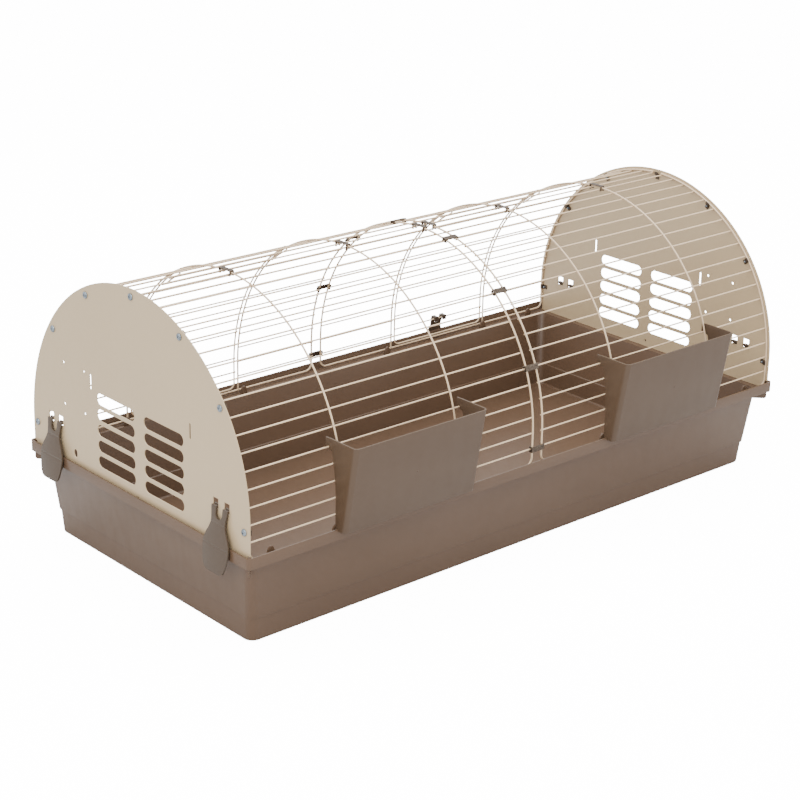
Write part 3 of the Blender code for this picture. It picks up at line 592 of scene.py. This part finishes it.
def tray_mesh():
    """Outside from the base up and over the rim, then down the inside to the floor."""
    bottom = FOOT_HEIGHT
    floor = bottom + TRAY_SHEET
    base_x, base_y = BASE_HALF
    rim_x, rim_y = RIM_HALF
    lip = TRAY_SHEET
    rings = []
    for degrees in BASE_BEND:
        bend = math.radians(degrees)
        inset = BASE_ROUND * (1 - math.sin(bend))
        lift = BASE_ROUND * (1 - math.cos(bend))
        rings.append((base_x - inset, base_y - inset, WALL_CORNER, bottom + lift))
    rings += [
        (*STEP_HALF, WALL_CORNER, STEP_Z),
        (*WALL_HALF, WALL_CORNER, STEP_Z + STEP_RISE),
        (*WALL_TOP_HALF, WALL_CORNER, RIM_BOTTOM - GAP),
        (rim_x, rim_y, RIM_CORNER, RIM_BOTTOM),
        (rim_x, rim_y, RIM_CORNER, RIM_TOP),
        (rim_x - lip, rim_y - lip, RIM_CORNER - lip, RIM_TOP),
        (rim_x - lip, rim_y - lip, RIM_CORNER - lip, LEDGE_TOP),
    ]
    inner = WALL_CORNER - lip / 2
    for (half_x, half_y), z in (
        (WALL_TOP_HALF, LEDGE_TOP), (WALL_HALF, STEP_Z + STEP_RISE + lip), (STEP_HALF, STEP_Z + lip),
    ):
        rings.append((half_x - lip, half_y - lip, inner, z))
    for degrees in BASE_BEND:
        bend = math.radians(degrees)
        inset = lip + BASE_ROUND * (1 - math.cos(bend))
        level = floor + BASE_ROUND * (1 - math.sin(bend))
        rings.append((base_x - inset, base_y - inset, inner, level))
    return loft([tray_ring(*values) for values in rings])


def stop_mesh():
    """A small moulded bump on the ledge, just inside the vault's foot wire."""
    length, depth, height = STOP_SIZE
    outline = [(-length / 2, -height / 2), (length / 2, -height / 2)]
    outline += arc((0, -height / 2), 1.0, 0, 180, 12)[1:-1]
    dome = [(x * length / 2, -height / 2 + (y + height / 2) * height) for x, y in outline[2:]]
    bump = moved(plate([outline[:2] + dome], depth), Matrix.Rotation(math.pi / 2, 4, "X"))
    return bevelled(bump, STOP_EDGE)


def corner_rib_mesh():
    """A thin upright rib under the rim, from the wall's corner at the origin out along X."""
    low, high = RIM_BOTTOM - RIB_DEPTH, RIM_BOTTOM + OVERLAP
    round_end = arc((RIB_REACH - RIB_ROUND, low + RIB_ROUND), RIB_ROUND, -90, 0, 6)
    outline = [(-RIB_LEAN, low), *round_end, (RIB_REACH, high), (0, high)]
    return moved(plate([outline], RIB_SHEET), Matrix.Rotation(math.pi / 2, 4, "X"))


def make_tray():
    tray = tray_mesh()
    foot_x, foot_y = (half - FOOT_INSET for half in BASE_HALF)
    root_x, root_y = (half - RIB_INSET for half in WALL_TOP_HALF)
    for side in SIDES:
        for face in FACES:
            outline = rounded_outline((side * foot_x, face * foot_y), FOOT_SIZE, FOOT_ROUND)
            height = FOOT_HEIGHT + OVERLAP
            foot = moved(plate([outline], height), Matrix.Translation((0, 0, height / 2)))
            tray = union(tray, foot)
            rib_root = Vector((side * root_x, face * root_y, 0))
            turn = Matrix.Rotation(math.atan2(face, side), 4, "Z")
            tray = union(tray, moved(corner_rib_mesh(), Matrix.Translation(rib_root) @ turn))
    tray = bevelled(tray, TRAY_EDGE, 2, 30)
    add_piece("base_tray", tray, TRAY_PLASTIC, "cage", ["tray"])
    stop = stop_mesh()
    stop_y = RIM_HALF[1] - STOP_INSET
    stop_z = LEDGE_TOP + STOP_SIZE[2] / 2 - OVERLAP
    for side in SIDES:
        for face in FACES:
            for number, x in enumerate(STOP_PLACES, 1):
                place = Matrix.Translation((side * x, face * stop_y, stop_z))
                name = f"rim_stop_{FACE_NAMES[face]}_{SIDE_NAMES[side]}_{number}"
                add_piece(name, stop, TRAY_PLASTIC, "cage", [], place)


# ---------------------------------------------------------------- end panels, screws and saddles

def screw_places():
    """(y, z, angle) of each screw of a panel; the angle points out of the vault's centre."""
    places = [(REAR * SCREW_CIRCLE, SCREW_FOOT_Z, 0.0)]
    for degrees in SCREW_ANGLES:
        angle = math.radians(degrees)
        y, z = SCREW_CIRCLE * math.cos(angle), VAULT_AXIS_Z + SCREW_CIRCLE * math.sin(angle)
        places.append((y, z, angle))
    places.append((FRONT * SCREW_CIRCLE, SCREW_FOOT_Z, math.pi))
    return places


def panel_holes():
    holes = []
    for column in (-VENT_COLUMN, VENT_COLUMN):
        for row in range(VENT_ROWS):
            centre = (column - VENT_SHIFT, VENT_FIRST_Z + VENT_PITCH * row)
            holes.append(rounded_outline(centre, (VENT_LENGTH, VENT_HEIGHT), VENT_ROUND, 8))
    for offset in (-SLIT_OFFSET, SLIT_OFFSET):
        holes.append(rounded_outline((offset - VENT_SHIFT, SLIT_Z), SLIT_SIZE, SLIT_ROUND, 4))
    for centre in BOTTLE_HOLES:
        holes.append(ellipse(centre, (2 * SMALL_HOLE, 2 * SMALL_HOLE), HOLE_STEPS))
    holes.append(ellipse(OVAL_HOLE, OVAL_SIZE))
    for y, z, _ in screw_places():
        holes.append(ellipse((y, z), (2 * SCREW_HOLE, 2 * SCREW_HOLE), HOLE_STEPS))
    for face in FACES:
        for prong in (-PRONG_OFFSET, PRONG_OFFSET):
            holes.append(rounded_outline((face * LATCH_Y + prong, WINDOW_Z), WINDOW, WINDOW_ROUND, 3))
    return holes


def screw_mesh():
    """A domed head with a cross recess, and its shank, about Z; the head's underside is at 0."""
    profile = []
    for degrees in range(0, 90, 10):
        angle = math.radians(degrees)
        height = SCREW_HEAD_HEIGHT * math.cos(angle) ** SCREW_DOME
        profile.append((SCREW_HEAD * math.sin(angle), height))
    profile += [
        (SCREW_HEAD, SCREW_RIM), (SCREW_HEAD - SCREW_UNDERCUT, 0), (SCREW_SHANK, 0),
        (SCREW_SHANK, -SCREW_REACH + SCREW_POINT), (0, -SCREW_REACH),
    ]
    screw = turned(profile)
    for size in ((2 * RECESS_REACH, RECESS_WIDTH), (RECESS_WIDTH, 2 * RECESS_REACH)):
        slot = box((*size, 2 * RECESS_DEPTH), (0, 0, SCREW_HEAD_HEIGHT))
        screw = boolean(screw, "DIFFERENCE", slot)
    return bevelled(screw, SCREW_EDGE, 2, 40)


def saddle_mesh():
    """A bent strip: X into the cage from the panel's inner face, Y out towards the hoop it holds."""
    hoop = HOOP_RADIUS - SCREW_CIRCLE
    step_in = PANEL_X - PANEL_SHEET / 2 - END_HOOP_X + FRAME_WIRE + GAP
    step_out = step_in + SADDLE_SHEET
    riser = hoop - FRAME_WIRE - 2 * GAP
    tip = hoop + FRAME_WIRE
    profile = (
        (GAP, -SADDLE_TAIL), (GAP + SADDLE_SHEET, -SADDLE_TAIL),
        (GAP + SADDLE_SHEET, riser - SADDLE_SHEET), (step_out, riser - SADDLE_SHEET),
        (step_out, tip), (step_in, tip), (step_in, riser), (GAP, riser),
    )
    strip = plate([profile], SADDLE_WIDTH)
    hole = moved(drum(SCREW_HOLE, 4 * SADDLE_SHEET), Matrix.Rotation(math.pi / 2, 4, "Y"))
    return bevelled(boolean(strip, "DIFFERENCE", hole), SADDLE_EDGE, 3)


def panel_mesh():
    shoulder = RIM_TOP + 2 * GAP
    foot = LEDGE_TOP + GAP
    edge = vault_outline(PANEL_RADIUS, shoulder)
    edge += [(-PANEL_FOOT_HALF, shoulder), (-PANEL_FOOT_HALF, foot)]
    edge += [(PANEL_FOOT_HALF, foot), (PANEL_FOOT_HALF, shoulder)]
    sheet = upright(plate([edge, *panel_holes()], PANEL_SHEET))
    return moved(bevelled(sheet, PANEL_EDGE, 2, 50), Matrix.Translation((-PANEL_X, 0, 0)))


def make_ends():
    sheet, screw, saddle = panel_mesh(), screw_mesh(), saddle_mesh()
    for side, turn in ((LEFT, Matrix()), (RIGHT, Matrix.Rotation(math.pi, 4, "Z"))):
        name = SIDE_NAMES[side]
        node = f"end_panel_{name}"
        add_piece(f"end_sheet_{name}", sheet, PANEL_PAINT, "cage", [node], turn)
        for number, (y, z, angle) in enumerate(screw_places(), 1):
            tag = f"{name}_{number}"
            spin = Matrix.Rotation(number * SCREW_SPIN, 4, "Z")
            face_out = Matrix.Translation((-PANEL_X - PANEL_SHEET / 2 - GAP / 2, y, z))
            place = turn @ face_out @ Matrix.Rotation(-math.pi / 2, 4, "Y") @ spin
            node = f"screw_{tag}"
            add_piece(f"pan_{node}", screw, SCREW_ZINC, "cage", [node], place)
            face_in = Matrix.Translation((-PANEL_X + PANEL_SHEET / 2, y, z))
            place = turn @ face_in @ Matrix.Rotation(angle, 4, "X")
            node = f"saddle_{tag}"
            add_piece(f"hoop_clip_{tag}", saddle, CLIP_STEEL, "cage", [node], place)


# ---------------------------------------------------------------- wires

def wire_curve(name, runs, resolution=3):
    """One curve object's data: (points, radius) for each wire; the bevel is the first radius."""
    curve = bpy.data.curves.new(name, "CURVE")
    curve.dimensions = "3D"
    curve.twist_mode = "MINIMUM"
    base = runs[0][1]
    curve.bevel_depth = base
    curve.bevel_resolution = resolution
    curve.use_fill_caps = True
    for points, radius in runs:
        spline = curve.splines.new("POLY")
        spline.points.add(len(points) - 1)
        for point, place in zip(spline.points, points):
            point.co = (*place, 1)
            point.radius = radius / base
    return curve


def hoop_path(x, face, foot, top=None):
    """Down a hoop from its top end to `foot`."""
    top = bar_s(BAR_COUNT - 1) + HOOP_OVERHANG if top is None else top
    count = round((top - foot) / ARC_STEP)
    return [vault_point(x, top + (foot - top) * i / count, HOOP_RADIUS, face) for i in range(count + 1)]


def corner_path(x, foot_s, direction, radius, face, steps=8):
    """A quarter bend from a hoop's leg into the wire along its foot."""
    points = []
    for i in range(steps + 1):
        bend = math.pi / 2 * i / steps
        along = x + direction * radius * (1 - math.cos(bend))
        points.append(vault_point(along, foot_s + radius * (1 - math.sin(bend)), HOOP_RADIUS, face))
    return points


def frame_path(side, face):
    end_x, middle_x = side * END_HOOP_X, MIDDLE_HOOP[side]
    foot = FRAME_FOOT + FRAME_CORNER
    start = hoop_path(end_x, face, foot)[:-1]
    start += corner_path(end_x, FRAME_FOOT, -side, FRAME_CORNER, face)
    finish = hoop_path(middle_x, face, foot)[:-1]
    finish += corner_path(middle_x, FRAME_FOOT, side, FRAME_CORNER, face)
    return start + finish[::-1]


def panel_bars(side, face):
    """The straight bars of a wire panel; a rear one is open between its two hoops for the door."""
    end_x = side * (END_HOOP_X + BAR_OVERHANG)
    middle_x = MIDDLE_HOOP[side] - side * BAR_OVERHANG
    outer_x, inner_x = sorted(HOOPS[side], key=abs, reverse=True)
    runs = []
    for index in range(BAR_COUNT):
        spans = [(end_x, middle_x)]
        if face == REAR and index < DOOR_HINGE_BAR:
            spans = [(end_x, outer_x - side * BAR_OVERHANG), (inner_x + side * BAR_OVERHANG, middle_x)]
        for ends in spans:
            points = [vault_point(x, bar_s(index), BAR_RADIUS, face) for x in ends]
            runs.append((points, BAR_WIRE))
    return runs


def make_wire_panels():
    for side in SIDES:
        for face in FACES:
            runs = [(frame_path(side, face), FRAME_WIRE)]
            runs += [(hoop_path(x, face, FRAME_FOOT), HOOP_WIRE) for x in HOOPS[side]]
            tag = f"{FACE_NAMES[face]}_{SIDE_NAMES[side]}"
            name = f"vault_wires_{tag}"
            curve = wire_curve(name, runs + panel_bars(side, face))
            add_piece(name, curve, WIRE_COAT, "cage", [f"wire_panel_{tag}"])


def door_strand(x):
    """One side of a door's wire: the inner stub, the loop round the hinge bar, then down the side."""
    hinge = bar_s(DOOR_HINGE_BAR)
    pivot = vault_point(x, hinge, BAR_RADIUS, REAR)
    points = [
        vault_point(x, hinge - DOOR_STUB * (1 - i / STUB_STEPS), BAR_RADIUS - DOOR_LOOP, REAR)
        for i in range(STUB_STEPS + 1)
    ]
    inward = vault_angle(hinge) + math.pi
    for degrees in range(20, 180, 20):
        turn = inward - math.radians(degrees)
        points.append(pivot + DOOR_LOOP * Vector((0, math.cos(turn), math.sin(turn))))
    points.append(vault_point(x, hinge, BAR_RADIUS + DOOR_LOOP, REAR))
    points.append(vault_point(x, hinge - DOOR_PITCH / 3, BAR_RADIUS + DOOR_LOOP, REAR))
    top = DOOR_FIRST + DOOR_PITCH * (DOOR_BARS - 0.5)
    return points + hoop_path(x, REAR, DOOR_FOOT + DOOR_CORNER, top)[:-1]


def make_doors():
    for side in SIDES:
        low_x, high_x = sorted(HOOPS[side])
        low_x, high_x = low_x + DOOR_INSET, high_x - DOOR_INSET
        left = door_strand(low_x) + corner_path(low_x, DOOR_FOOT, 1, DOOR_CORNER, REAR)
        right = door_strand(high_x) + corner_path(high_x, DOOR_FOOT, -1, DOOR_CORNER, REAR)
        runs = [(left + right[::-1], DOOR_WIRE)]
        for index in range(DOOR_BARS):
            s = DOOR_FIRST + DOOR_PITCH * index
            ends = (low_x - BAR_OVERHANG, high_x + BAR_OVERHANG)
            points = [vault_point(x, s, BAR_RADIUS, REAR) for x in ends]
            runs.append((points, BAR_WIRE))
        body = f"rear_door_{SIDE_NAMES[side]}"
        curve = wire_curve(f"door_wires_{SIDE_NAMES[side]}", runs)
        add_piece(f"door_wires_{SIDE_NAMES[side]}", curve, WIRE_COAT, body, [body])
        pivot = vault_point(DOOR_LATCH_X[side], DOOR_FIRST, BAR_RADIUS, REAR)
        name = f"door_latch_{SIDE_NAMES[side]}"
        latch = door_latch_mesh()
        place = Matrix.Translation(pivot)
        add_piece(f"forked_{name}", latch, LATCH_PLASTIC, name, [name], place)


# ---------------------------------------------------------------- wire clips

def clip_mesh(bar_gap, bar_radius, plate_z, slot):
    """A sheet clip over two bars along Y, with a shallow groove; its slot passes the crossing wire."""
    inner = bar_gap / 2 + bar_radius + CLIP_GAP
    outer = inner + CLIP_SHEET
    under = -bar_radius - CLIP_GAP
    tip = bar_gap / 2 - CLIP_GAP
    half = (
        (outer, plate_z + CLIP_SHEET), (outer, under - CLIP_SHEET), (tip, under - CLIP_SHEET),
        (tip, under), (inner, under), (inner, plate_z),
    )
    profile = [*half, *((-x, z) for x, z in reversed(half))]
    clip = moved(plate([profile], CLIP_WIDTH), Matrix.Rotation(math.pi / 2, 4, "X"))
    low = (-outer - OVERLAP, -slot, under - 2 * CLIP_SHEET)
    high = (outer + OVERLAP, slot, plate_z - SLOT_SHY)
    clip = bevelled(boolean(clip, "DIFFERENCE", span_box(low, high)), CLIP_EDGE, 3)
    groove = moved(drum(GROOVE_RADIUS, bar_gap, 20), Matrix.Rotation(math.pi / 2, 4, "Y"))
    moved(groove, Matrix.Translation((0, 0, plate_z + CLIP_SHEET + GROOVE_RISE)))
    return boolean(clip, "DIFFERENCE", groove)


def make_clips():
    middle_gap = MIDDLE_HOOP[RIGHT] - MIDDLE_HOOP[LEFT]
    middle_x = sum(MIDDLE_HOOP.values()) / 2
    joint = clip_mesh(middle_gap, FRAME_WIRE, FRAME_WIRE + CLIP_GAP, BAR_WIRE + CLIP_GAP)
    for face in FACES:
        for number, index in enumerate(CLIP_BARS, 1):
            tag = f"joint_clip_{FACE_NAMES[face]}_{number}"
            place = vault_frame(middle_x, bar_s(index), HOOP_RADIUS, face)
            add_piece(f"sprung_{tag}", joint, CLIP_STEEL, "cage", [tag], place)
    edge = vault_point(0, bar_s(BAR_COUNT - 1), BAR_RADIUS, REAR)
    hoop_top = HOOP_RADIUS + FRAME_WIRE - BAR_RADIUS
    top = clip_mesh(2 * edge.y, BAR_WIRE, hoop_top + CLIP_GAP, FRAME_WIRE + CLIP_GAP)
    hoops = sorted([*HOOPS[LEFT], *MIDDLE_HOOP.values(), *HOOPS[RIGHT]])
    for number, x in enumerate(hoops, 1):
        place = Matrix.Translation((x, 0, edge.z)) @ Matrix.Rotation(math.pi / 2, 4, "Z")
        tag = f"top_clip_{number}"
        add_piece(f"sprung_{tag}", top, CLIP_STEEL, "cage", [tag], place)


# ---------------------------------------------------------------- latches

def latch_body(top, length, tilt, standoff):
    """The forked plate, leaning out from its pivot: X across it, Y away from the cage."""
    scale = length / END_LATCH_LENGTH
    prong_in = scale * (PRONG_OFFSET - PRONG_WIDTH / 2)
    prong_out = scale * (PRONG_OFFSET + PRONG_WIDTH / 2)
    slot_foot = -LATCH_SLOT * length
    slot = arc((0, slot_foot + prong_in), prong_in, -90, 0, 6) + [(prong_in, top)]
    edge = [(scale * half, -fraction * length) for half, fraction in LATCH_OUTLINE]
    right = slot + [(prong_out, top)] + smoothed([(prong_out, -0.02 * length), *edge])
    outline = right + [(-x, z) for x, z in reversed(right[1:])]
    sheet = moved(plate([outline], LATCH_SHEET), Matrix.Rotation(math.pi / 2, 4, "X"))
    moved(sheet, Matrix.Translation((0, LATCH_SHEET / 2, 0)))
    for fraction in LATCH_CREASES:
        crease = moved(drum(CREASE_RADIUS, length, 32), Matrix.Rotation(math.pi / 2, 4, "Y"))
        face_y = LATCH_SHEET + CREASE_RADIUS - CREASE_DEPTH
        moved(crease, Matrix.Translation((0, face_y, -fraction * length)))
        sheet = boolean(sheet, "DIFFERENCE", crease)
    return moved(sheet, Matrix.Translation((0, standoff, 0)) @ Matrix.Rotation(tilt, 4, "X"))


def latch_lip(pivot_z, rim_y, tilt, standoff, width):
    """The ledge that catches under the tray's rim; rim_y is the rim's edge, from the pivot."""
    top = RIM_BOTTOM - LIP_DROP - pivot_z
    plate_y = standoff - top * math.tan(tilt) + LATCH_SHEET / 2
    low = (-width / 2, rim_y - LIP_REACH, top - LIP_HEIGHT)
    return span_box(low, (width / 2, plate_y, top))


def end_latch_mesh():
    """Two prongs pass through the panel's windows and turn up a little behind the sheet."""
    latch = latch_body(LATCH_TAB / 2, END_LATCH_LENGTH, END_LATCH_TILT, END_LATCH_STANDOFF)
    behind = PANEL_SHEET / 2 + GAP
    back = behind + TAB_SHEET
    upturn = LATCH_TAB
    rim_y = RIM_HALF[0] - PANEL_X
    lip = latch_lip(END_LATCH_Z, rim_y, END_LATCH_TILT, END_LATCH_STANDOFF, LIP_WIDTH)
    latch = union(latch, lip)
    half_tab = LATCH_TAB / 2 - LATCH_SHY
    for sign in SIDES:
        low_x = sign * PRONG_OFFSET - PRONG_WIDTH / 2 + TAB_SHY
        high_x = sign * PRONG_OFFSET + PRONG_WIDTH / 2 - TAB_SHY
        tab = span_box((low_x, -back, -half_tab), (high_x, END_LATCH_STANDOFF + OVERLAP, half_tab))
        leg = span_box((low_x, -back, -half_tab), (high_x, -behind, upturn))
        latch = union(latch, union(tab, leg))
    return bevelled(latch, LATCH_EDGE, 3, 35)


def door_latch_mesh():
    """Two prongs hook over the door's lowest bar."""
    pivot = vault_point(0, DOOR_FIRST, BAR_RADIUS, REAR)
    latch = latch_body(DOOR_LATCH_TOP, DOOR_LATCH_LENGTH, DOOR_LATCH_TILT, DOOR_LATCH_STANDOFF)
    rim_y = RIM_HALF[1] - pivot.y
    scale = DOOR_LATCH_LENGTH / END_LATCH_LENGTH
    lip_width = scale * LIP_WIDTH
    lip = latch_lip(pivot.z, rim_y, DOOR_LATCH_TILT, DOOR_LATCH_STANDOFF, lip_width)
    latch = union(latch, lip)
    clear = BAR_WIRE + DOOR_LATCH_PLAY
    back = clear + DOOR_TAB_SHEET
    top = DOOR_LATCH_TOP - LATCH_SHY
    for sign in SIDES:
        low_x = scale * (sign * PRONG_OFFSET - PRONG_WIDTH / 2) + TAB_SHY
        high_x = scale * (sign * PRONG_OFFSET + PRONG_WIDTH / 2) - TAB_SHY
        tab = span_box((low_x, -back, clear), (high_x, DOOR_LATCH_STANDOFF + OVERLAP, top))
        leg = span_box((low_x, -back, -back), (high_x, -clear, top))
        latch = union(latch, union(tab, leg))
    return bevelled(latch, LATCH_EDGE, 3, 35)


def make_end_latches():
    mesh = end_latch_mesh()
    for side in SIDES:
        for face in FACES:
            place = Matrix.Translation((side * PANEL_X, face * LATCH_Y, END_LATCH_Z))
            turn = Matrix.Rotation(-side * math.pi / 2, 4, "Z")
            name = f"end_latch_{SIDE_NAMES[side]}_{FACE_NAMES[face]}"
            place = place @ turn
            add_piece(f"forked_{name}", mesh, LATCH_PLASTIC, name, [name], place)


# ---------------------------------------------------------------- hopper feeders

def hopper_ring(z):
    """The hopper's wall in plan at a height: round the outside, then back round the inside."""
    lean = (HOPPER_FRONT_TOP - HOPPER_FRONT_FOOT) / (HOPPER_TOP - HOPPER_BOTTOM)
    front = -HOPPER_FRONT_FOOT - lean * (z - HOPPER_BOTTOM)
    half = HOPPER_LENGTH / 2
    ring = []
    for inset, direction in ((0, 1), (HOPPER_WALL, -1)):
        radius = HOPPER_ROUND - inset
        left = arc((-half + HOPPER_ROUND, front + HOPPER_ROUND), radius, 180, 270, ROUND_STEPS)
        right = arc((half - HOPPER_ROUND, front + HOPPER_ROUND), radius, 270, 360, ROUND_STEPS)
        run = [(-half + inset, HOPPER_INSIDE), *left, *right, (half - inset, HOPPER_INSIDE)]
        ring += [(x, y, z) for x, y in run[::direction]]
    return ring


def hopper_floor():
    """A slab that fills the foot of the wall."""
    inset = HOPPER_WALL / 2
    outer_points = 2 * (ROUND_STEPS + 1) + 2
    low = hopper_ring(HOPPER_BOTTOM + GAP)[:outer_points]
    shrunk = [Vector((x * (1 - 2 * inset / HOPPER_LENGTH), y + inset, 0)) for x, y, _ in low]
    levels = (HOPPER_BOTTOM, HOPPER_BOTTOM + HOPPER_WALL)
    return loft([[point + Vector((0, 0, z)) for point in shrunk] for z in levels])


def hook_sheet(width):
    """A hook over the bar, up to the hopper's top edge, notched along the way it lifts off."""
    pivot = vault_point(0, bar_s(HOPPER_BAR), BAR_RADIUS, FRONT)
    lift = Vector((-math.cos(HOOK_LIFT), math.sin(HOOK_LIFT)))
    across = Vector((lift.y, -lift.x))
    mouth = {}
    for side in SIDES:
        edge = side * HOOK_SLOT * across
        mouth[side] = edge - lift * ((edge.y + HOOK_DROP) / lift.y)
    turn = math.degrees(HOOK_LIFT)
    notch = arc((0, 0), HOOK_SLOT, 270 - turn, 90 - turn, NOTCH_STEPS)
    inner = mouth[RIGHT].x + HOOK_TIP
    top = HOPPER_TOP - GAP - pivot.z
    outline = [
        (-HOOK_ROOT, -HOOK_DROP), tuple(mouth[LEFT]), *notch, tuple(mouth[RIGHT]),
        (inner, -HOOK_DROP), (inner, top), (-HOOK_ROOT, top),
    ]
    return moved(upright(plate([outline], width)), Matrix.Translation(pivot))


def vault_slab(radius, low_x, high_x):
    slab = upright(plate([vault_outline(radius, SLAB_FOOT_Z)], high_x - low_x))
    return moved(slab, Matrix.Translation(((low_x + high_x) / 2, 0, 0)))


def hook_mesh(sign):
    """A hook in the plane of an end wall, thinner than the wall so that no two faces lie together."""
    hook = hook_sheet(HOPPER_WALL - 2 * HOOK_SHY)
    return moved(hook, Matrix.Translation((sign * (HOPPER_LENGTH - HOPPER_WALL) / 2, 0, 0)))


def hopper_mesh():
    hopper = loft([hopper_ring(z) for z in (HOPPER_BOTTOM, HOPPER_TOP)])
    hopper = union(hopper, hopper_floor())
    hopper = boolean(hopper, "DIFFERENCE", vault_slab(HOPPER_BACK, -HOPPER_LENGTH, HOPPER_LENGTH))
    hopper = union(hopper, hook_mesh(LEFT), hook_mesh(RIGHT))
    return bevelled(hopper, HOPPER_EDGE, 3, 35)


def make_hoppers():
    """Each hopper, and the small gate mark that the mould leaves on its front."""
    mesh = hopper_mesh()
    height = (HOPPER_BOTTOM + HOPPER_TOP) / 2
    lean = math.atan2(HOPPER_FRONT_TOP - HOPPER_FRONT_FOOT, HOPPER_TOP - HOPPER_BOTTOM)
    front = -(HOPPER_FRONT_FOOT + HOPPER_FRONT_TOP) / 2
    gate = turned([
        (0, GATE_RISE), (0.5 * GATE_MARK, GATE_SHOULDER), (GATE_MARK, 0),
        (GATE_MARK, -OVERLAP), (0, -OVERLAP),
    ])
    tilt = Matrix.Rotation(math.pi / 2 - lean, 4, "X")
    for side in SIDES:
        name = f"hopper_{SIDE_NAMES[side]}"
        place = Matrix.Translation((HOPPER_X[side], 0, 0))
        add_piece(f"{name}_bin", mesh, FEEDER_PLASTIC, name, [name], place)
        at = place @ Matrix.Translation((0, front, height)) @ tilt
        add_piece(f"{name}_gate", gate, FEEDER_PLASTIC, name, [], at)


# ---------------------------------------------------------------- camera, floor and light

CAMERA_AIM = Vector((0, 0, 0.255))
CAMERA_AZIMUTH = math.radians(-42.183)
CAMERA_ELEVATION = math.radians(19.131)
CAMERA_ROLL = math.radians(1.3607)
CAMERA_DISTANCE = 2.9564
CAMERA_LENS = 92.17
CAMERA_SHIFT = (-0.0257, -0.0837)
# The backdrop and the floor look brighter to the camera than the light they throw on the cage.
WORLD_LIGHT = 1.75
BACKDROP_LIGHT = 14.0
FLOOR_GREY = (0.60, 0.59, 0.58)
FLOOR_GLOW = 14.0


def make_camera():
    level = math.cos(CAMERA_ELEVATION)
    back = Vector((
        math.sin(CAMERA_AZIMUTH) * level, -math.cos(CAMERA_AZIMUTH) * level, math.sin(CAMERA_ELEVATION)
    ))
    right = (-back).cross(Vector((0, 0, 1))).normalized()
    up = back.cross(right)
    turned_right = right * math.cos(CAMERA_ROLL) + up * math.sin(CAMERA_ROLL)
    turned_up = up * math.cos(CAMERA_ROLL) - right * math.sin(CAMERA_ROLL)
    data = bpy.data.cameras.new("camera")
    data.lens = CAMERA_LENS
    data.shift_x, data.shift_y = CAMERA_SHIFT
    camera = bpy.data.objects.new("camera", data)
    bpy.context.scene.collection.objects.link(camera)
    turn = Matrix((turned_right, turned_up, back)).transposed().to_4x4()
    camera.matrix_world = Matrix.Translation(ORIGIN + CAMERA_AIM + back * CAMERA_DISTANCE) @ turn
    bpy.context.scene.camera = camera


def camera_only(tree, elsewhere, to_camera):
    """A strength that the camera sees as `to_camera` and every other ray as `elsewhere`."""
    path = tree.nodes.new("ShaderNodeLightPath")
    return add_range(tree, path.outputs["Is Camera Ray"], elsewhere, to_camera, 0, 1)


def make_floor():
    bm = bmesh.new()
    bmesh.ops.create_grid(bm, x_segments=1, y_segments=1, size=9)
    floor = bpy.data.objects.new("floor", mesh_of(bm))
    bpy.context.scene.collection.objects.link(floor)
    material, tree, shader = new_material("floor_white", FLOOR_GREY, 0.8)
    shader.inputs["Emission Color"].default_value = (1, 1, 1, 1)
    glow = camera_only(tree, 0, FLOOR_GLOW)
    tree.links.new(glow, shader.inputs["Emission Strength"])
    add_bump(tree, shader, [(add_noise(tree, 40, 2), 0.02, 1 * MM)])
    floor.data.materials.append(material)


def add_area(name, place, size, power, aim=(0, 0, 0.2)):
    data = bpy.data.lights.new(name, "AREA")
    data.shape = "RECTANGLE"
    data.size, data.size_y = size
    data.energy = power
    lamp = bpy.data.objects.new(name, data)
    bpy.context.scene.collection.objects.link(lamp)
    lamp.location = place
    lamp.rotation_euler = (Vector(place) - Vector(aim)).to_track_quat("Z", "Y").to_euler()


def make_light():
    world = bpy.data.worlds.new("studio")
    world.use_nodes = True
    background = world.node_tree.nodes["Background"]
    background.inputs["Color"].default_value = (1, 1, 1, 1)
    strength = camera_only(world.node_tree, WORLD_LIGHT, BACKDROP_LIGHT)
    world.node_tree.links.new(strength, background.inputs["Strength"])
    bpy.context.scene.world = world
    add_area("key", place=(-2.0, -1.2, 2.0), size=(1.6, 1.4), power=50)
    add_area("top", place=(0.2, 0.2, 2.6), size=(2.4, 1.6), power=72)
    add_area("fill", place=(2.0, -1.6, 1.0), size=(1.6, 1.6), power=10)


make_tray()
make_ends()
make_wire_panels()
make_doors()
make_clips()
make_end_latches()
make_hoppers()
make_camera()
make_floor()
make_light()
